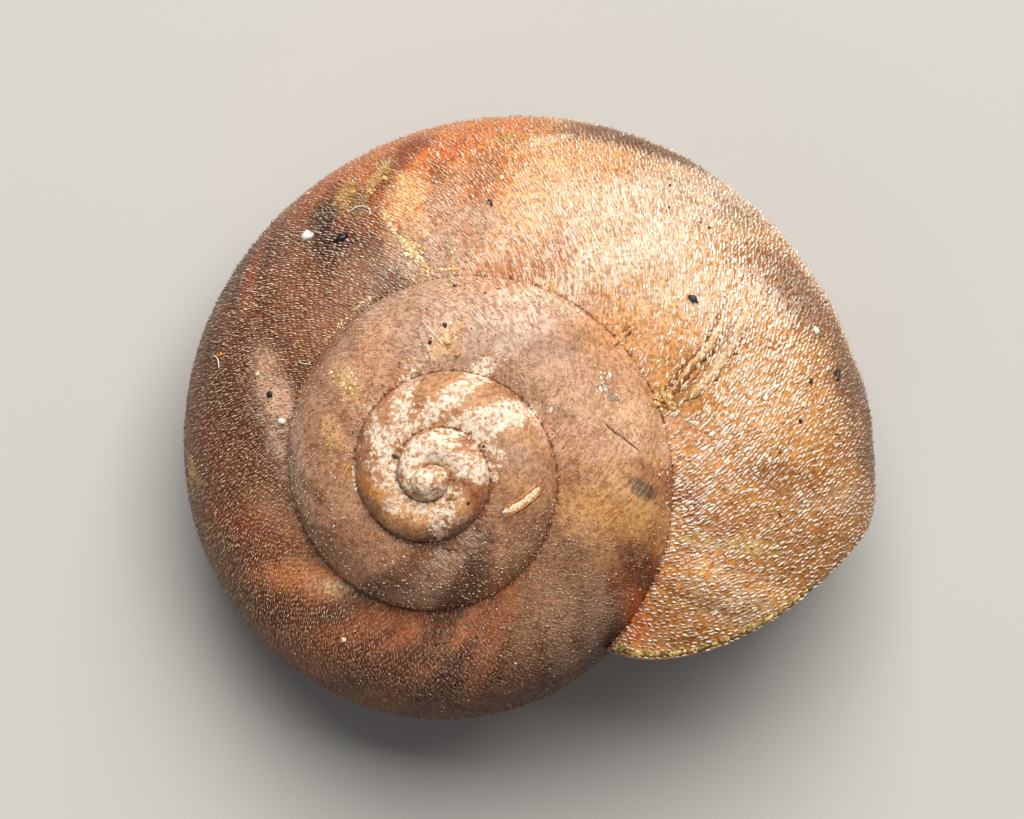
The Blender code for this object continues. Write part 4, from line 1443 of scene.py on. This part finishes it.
# Creases, the healed scar and the hairline crack: raised wrinkles of the horny skin where a dent or a
# break pulled it together while it was soft. Each is a thin lens-shaped strip along a drawn line.
LENS_SIDES = 10
STRIP_STEP = 4.0
FEWEST_STEPS = 4
STRIP_SINK = 0.000012
END_ROUND = 1.5
EDGE_LIMITS = (0.2, 2.0)
WRINKLE_SEED = 71
WRINKLE_WANDER = 0.8
WRINKLE_WIDTHS = (0.6, 1.2)
WRINKLE_TONES = (0.75, 1.0)
FOLD_COLOURS = (paint(226, 188, 132), paint(206, 158, 98), paint(184, 130, 72), paint(236, 212, 168),
                paint(150, 98, 54), paint(214, 172, 116))


def strip(path, half_width, thickness, colour, lift=0.0, ragged_edge=0.5):
    """A thin closed strip along pixels of the photograph; its sizes in millimetres."""
    corners, runs = measured(path)
    steps = max(int(runs[-1] / STRIP_STEP), FEWEST_STEPS)
    stations = np.linspace(0.0, runs[-1], steps + 1)
    spots = np.stack([np.interp(stations, runs, corners[:, axis]) for axis in range(2)], axis=1)
    frames = [skin_frame(*surface_at(spot)) for spot in spots]
    places = np.array([frame_at[0] for frame_at in frames])
    outs = np.array([frame_at[1] for frame_at in frames])
    ways = unit(np.gradient(places, axis=0))
    sides = unit(np.cross(outs, ways))
    angles = np.linspace(0.0, FULL_TURN, LENS_SIDES, endpoint=False)
    share = np.linspace(0.0, 1.0, len(stations))
    taper = np.minimum(1.0, END_ROUND * np.sqrt(np.maximum(1.0 - (2.0 * share - 1.0) ** 2, 0.0)))[:, None]
    rough_edge = 1.0 + ragged_edge * flake_dice.normal(0.0, 1.0, (len(stations), LENS_SIDES))
    across_part = half_width * MM * taper * np.cos(angles) * np.clip(rough_edge, *EDGE_LIMITS)
    up_part = np.where(np.sin(angles) > 0.0, thickness * MM, STRIP_SINK) * np.sin(angles) * taper
    up_part = up_part + lift * MM
    points = places[:, None, :] + across_part[..., None] * sides[:, None, :]
    points = above_floor(points + up_part[..., None] * outs[:, None, :]).reshape(-1, 3)
    faces = []
    for first in range(0, steps * LENS_SIDES, LENS_SIDES):
        for side in range(LENS_SIDES):
            after = (side + 1) % LENS_SIDES
            further = first + LENS_SIDES
            faces.append([first + side, first + after, further + after, further + side])
    faces.append(list(range(LENS_SIDES))[::-1])
    faces.append(list(range(steps * LENS_SIDES, (steps + 1) * LENS_SIDES)))
    return points, faces, np.tile(colour, (len(points), 1))


def joined_strips(name, strips, material):
    """One piece of many strips, with the points that meet at their ends merged."""
    faces = []
    start = 0
    for points, its_faces, _ in strips:
        faces += [[corner + start for corner in face] for face in its_faces]
        start += len(points)
    all_points = np.concatenate([points for points, _, _ in strips])
    colours = np.concatenate([colours for _, _, colours in strips])
    made = add_piece(name, all_points, faces, colours, material)
    bpy.ops.object.select_all(action="DESELECT")
    made.select_set(True)
    bpy.context.view_layer.objects.active = made
    bpy.ops.object.mode_set(mode="EDIT")
    bpy.ops.mesh.select_all(action="SELECT")
    bpy.ops.mesh.remove_doubles(threshold=1e-8)
    bpy.ops.mesh.normals_make_consistent(inside=False)
    bpy.ops.object.mode_set(mode="OBJECT")


horn = crumb_material("creased_horn", roughness=0.42, darkest=(0.62, 0.46, 0.30))
creases = []
fold_dice = np.random.default_rng(WRINKLE_SEED)


def wrinkles(path, reach, count, half_width, thickness):
    """Lays fine uneven wrinkles side by side along a fold drawn on the picture."""
    corners = np.array(path, dtype=float)
    for place in np.linspace(-reach, reach, count):
        line = corners + fold_dice.normal(0.0, WRINKLE_WANDER, corners.shape)
        run = unit(np.gradient(corners, axis=0))
        line += place * np.stack([-run[:, 1], run[:, 0]], axis=1)
        first = fold_dice.integers(0, 2)
        last = len(line) - fold_dice.integers(0, 2)
        colour = FOLD_COLOURS[fold_dice.integers(len(FOLD_COLOURS))] * fold_dice.uniform(*WRINKLE_TONES)
        wide = half_width * fold_dice.uniform(*WRINKLE_WIDTHS)
        creases.append(strip(line[first:last], wide, thickness, colour))


wrinkles(((735, 248), (732, 262), (729, 276), (727, 290), (727, 304)),
         reach=2.0, count=3, half_width=0.030, thickness=0.020)
wrinkles(((727, 303), (721, 328), (708, 348), (690, 366), (674, 386), (663, 400)),
         reach=4.0, count=4, half_width=0.078, thickness=0.022)
wrinkles(((737, 318), (733, 342), (719, 362), (702, 381), (687, 397), (673, 410)),
         reach=4.0, count=4, half_width=0.072, thickness=0.022)
wrinkles(((643, 318), (634, 326), (624, 336), (612, 346)),
         reach=2.5, count=3, half_width=0.036, thickness=0.020)
creases.append(strip(((603, 421), (612, 430), (622, 437), (631, 444), (641, 452)),
                     half_width=0.014, thickness=0.004, colour=paint(112, 80, 58), ragged_edge=0.6))
SCAR = np.array([(503, 514), (511, 509), (520, 504), (530, 497), (541, 487)], dtype=float)
SCAR_ABOVE = (-2.0, -4.0)
SCAR_BELOW = (2.0, 4.2)
creases.append(strip(SCAR, half_width=0.062, thickness=0.012, colour=paint(236, 218, 186), ragged_edge=0.4))
creases.append(strip(SCAR + SCAR_ABOVE, half_width=0.030, thickness=0.020, colour=paint(186, 130, 72)))
creases.append(strip(SCAR + SCAR_BELOW, half_width=0.030, thickness=0.020, colour=paint(176, 116, 60)))
joined_strips("crease_ridges", creases, horn)


# Curled fibres: a few white threads of plant matter caught on the hairs, round in section and bent
# as they dried. They lie a little above the skin.
FIBRE_WHITE = paint(232, 222, 206)
fibre_stuff = crumb_material("plant_fibre", roughness=0.4, darkest=(0.75, 0.68, 0.58))


def fibre(path, half_width, thickness, lift):
    return strip(path, half_width, thickness, FIBRE_WHITE, lift, ragged_edge=0.0)


fibres = [
    fibre(((212, 357), (217, 356), (220, 359), (221, 365), (221, 371)),
          half_width=0.012, thickness=0.012, lift=0.06),
    fibre(((350, 214), (356, 209), (363, 207), (370, 209), (372, 214), (368, 218)),
          half_width=0.012, thickness=0.012, lift=0.06),
    fibre(((297, 361), (305, 364), (313, 363)), half_width=0.010, thickness=0.010, lift=0.05),
    fibre(((420, 318), (428, 328), (437, 337), (444, 347)), half_width=0.012, thickness=0.010, lift=0.01),
    fibre(((398, 432), (400, 440), (403, 447)), half_width=0.010, thickness=0.010, lift=0.02),
]
joined_strips("curled_fibres", fibres, fibre_stuff)


# Mud on the lip: a crust of dried yellowish soil along the front edge of the mouth, thickest at its
# lower end. It is made of many small crumbs of soil, stuck to the skin and to each other.
LIP_PATH = ((618, 648), (637, 666), (657, 665), (696, 661), (734, 650), (759, 639), (793, 624), (815, 603))
LIP_SEED = 47
LIP_CRUMBS = 420
LIP_CROWDING = (1.0, 1.35)
LIP_INWARD = (3.0, 6.0)
LIP_SMALLEST = 0.018
LIP_LARGER = 0.07
LIP_LENGTHS = (1.0, 1.7)
MUD_COLOURS = (MUD_YELLOW, paint(150, 120, 60), paint(186, 160, 92), paint(104, 78, 38),
               paint(204, 184, 128),
               paint(124, 110, 48))
lip_dice = np.random.default_rng(LIP_SEED)
lip_path, lip_runs = measured(LIP_PATH)
lip_bits = []
for _ in range(LIP_CRUMBS):
    run = lip_dice.beta(*LIP_CROWDING) * lip_runs[-1]
    spot = [np.interp(run, lip_runs, lip_path[:, axis]) for axis in range(2)]
    spot[1] -= abs(lip_dice.normal(*LIP_INWARD))
    wide = (LIP_SMALLEST + LIP_LARGER * lip_dice.random() ** 2.0) * MM
    lip_bits.append(crumb(
        *surface_at(spot), wide * lip_dice.uniform(*LIP_LENGTHS), wide,
        lip_dice.uniform(0.0, math.pi), MUD_COLOURS[lip_dice.integers(len(MUD_COLOURS))]))
dried_mud = crumb_material("dried_mud", roughness=0.8, darkest=(0.62, 0.52, 0.38))
joined_crumbs("mud_on_lip", lip_bits, dried_mud)


# The studio: a plain pale floor that the shell lies on, soft light from the top of the picture, a weak
# fill from the other side and a faint even light from all round.
FLOOR_WIDTH = 0.6
FLOOR_GREY = (0.45, 0.44, 0.42, 1.0)
bpy.ops.object.select_all(action="DESELECT")
bpy.ops.mesh.primitive_plane_add(size=FLOOR_WIDTH, location=(0.0, 0.0, 0.0))
floor = bpy.context.object
floor.name = "floor"
floor_paint, _, surface = new_material("pale_floor")
surface.inputs["Base Color"].default_value = FLOOR_GREY
surface.inputs["Roughness"].default_value = 0.9
floor.data.materials.append(floor_paint)


def soft_light(name, direction, distance, width, power, colour):
    """A square lamp that shines at the origin from a direction."""
    light_data = bpy.data.lights.new(name, "AREA")
    light_data.size = width
    light_data.energy = power
    light_data.color = colour
    item = bpy.data.objects.new(name, light_data)
    bpy.context.scene.collection.objects.link(item)
    item.location = Vector(direction).normalized() * distance
    item.rotation_euler = Vector(direction).to_track_quat("Z", "Y").to_euler()


soft_light("key_light", direction=(0.10, 0.52, 0.85), distance=0.30, width=0.26, power=1.75,
           colour=(1.0, 0.975, 0.93))
soft_light("fill_light", direction=(-0.5, -0.6, 0.9), distance=0.35, width=0.25, power=0.10,
           colour=(1.0, 0.97, 0.93))
world = bpy.data.worlds.new("studio")
world.use_nodes = True
world.node_tree.nodes["Background"].inputs["Color"].default_value = (0.9, 0.93, 1.0, 1.0)
world.node_tree.nodes["Background"].inputs["Strength"].default_value = 0.14
bpy.context.scene.world = world
bpy.context.scene.view_settings.view_transform = "Standard"
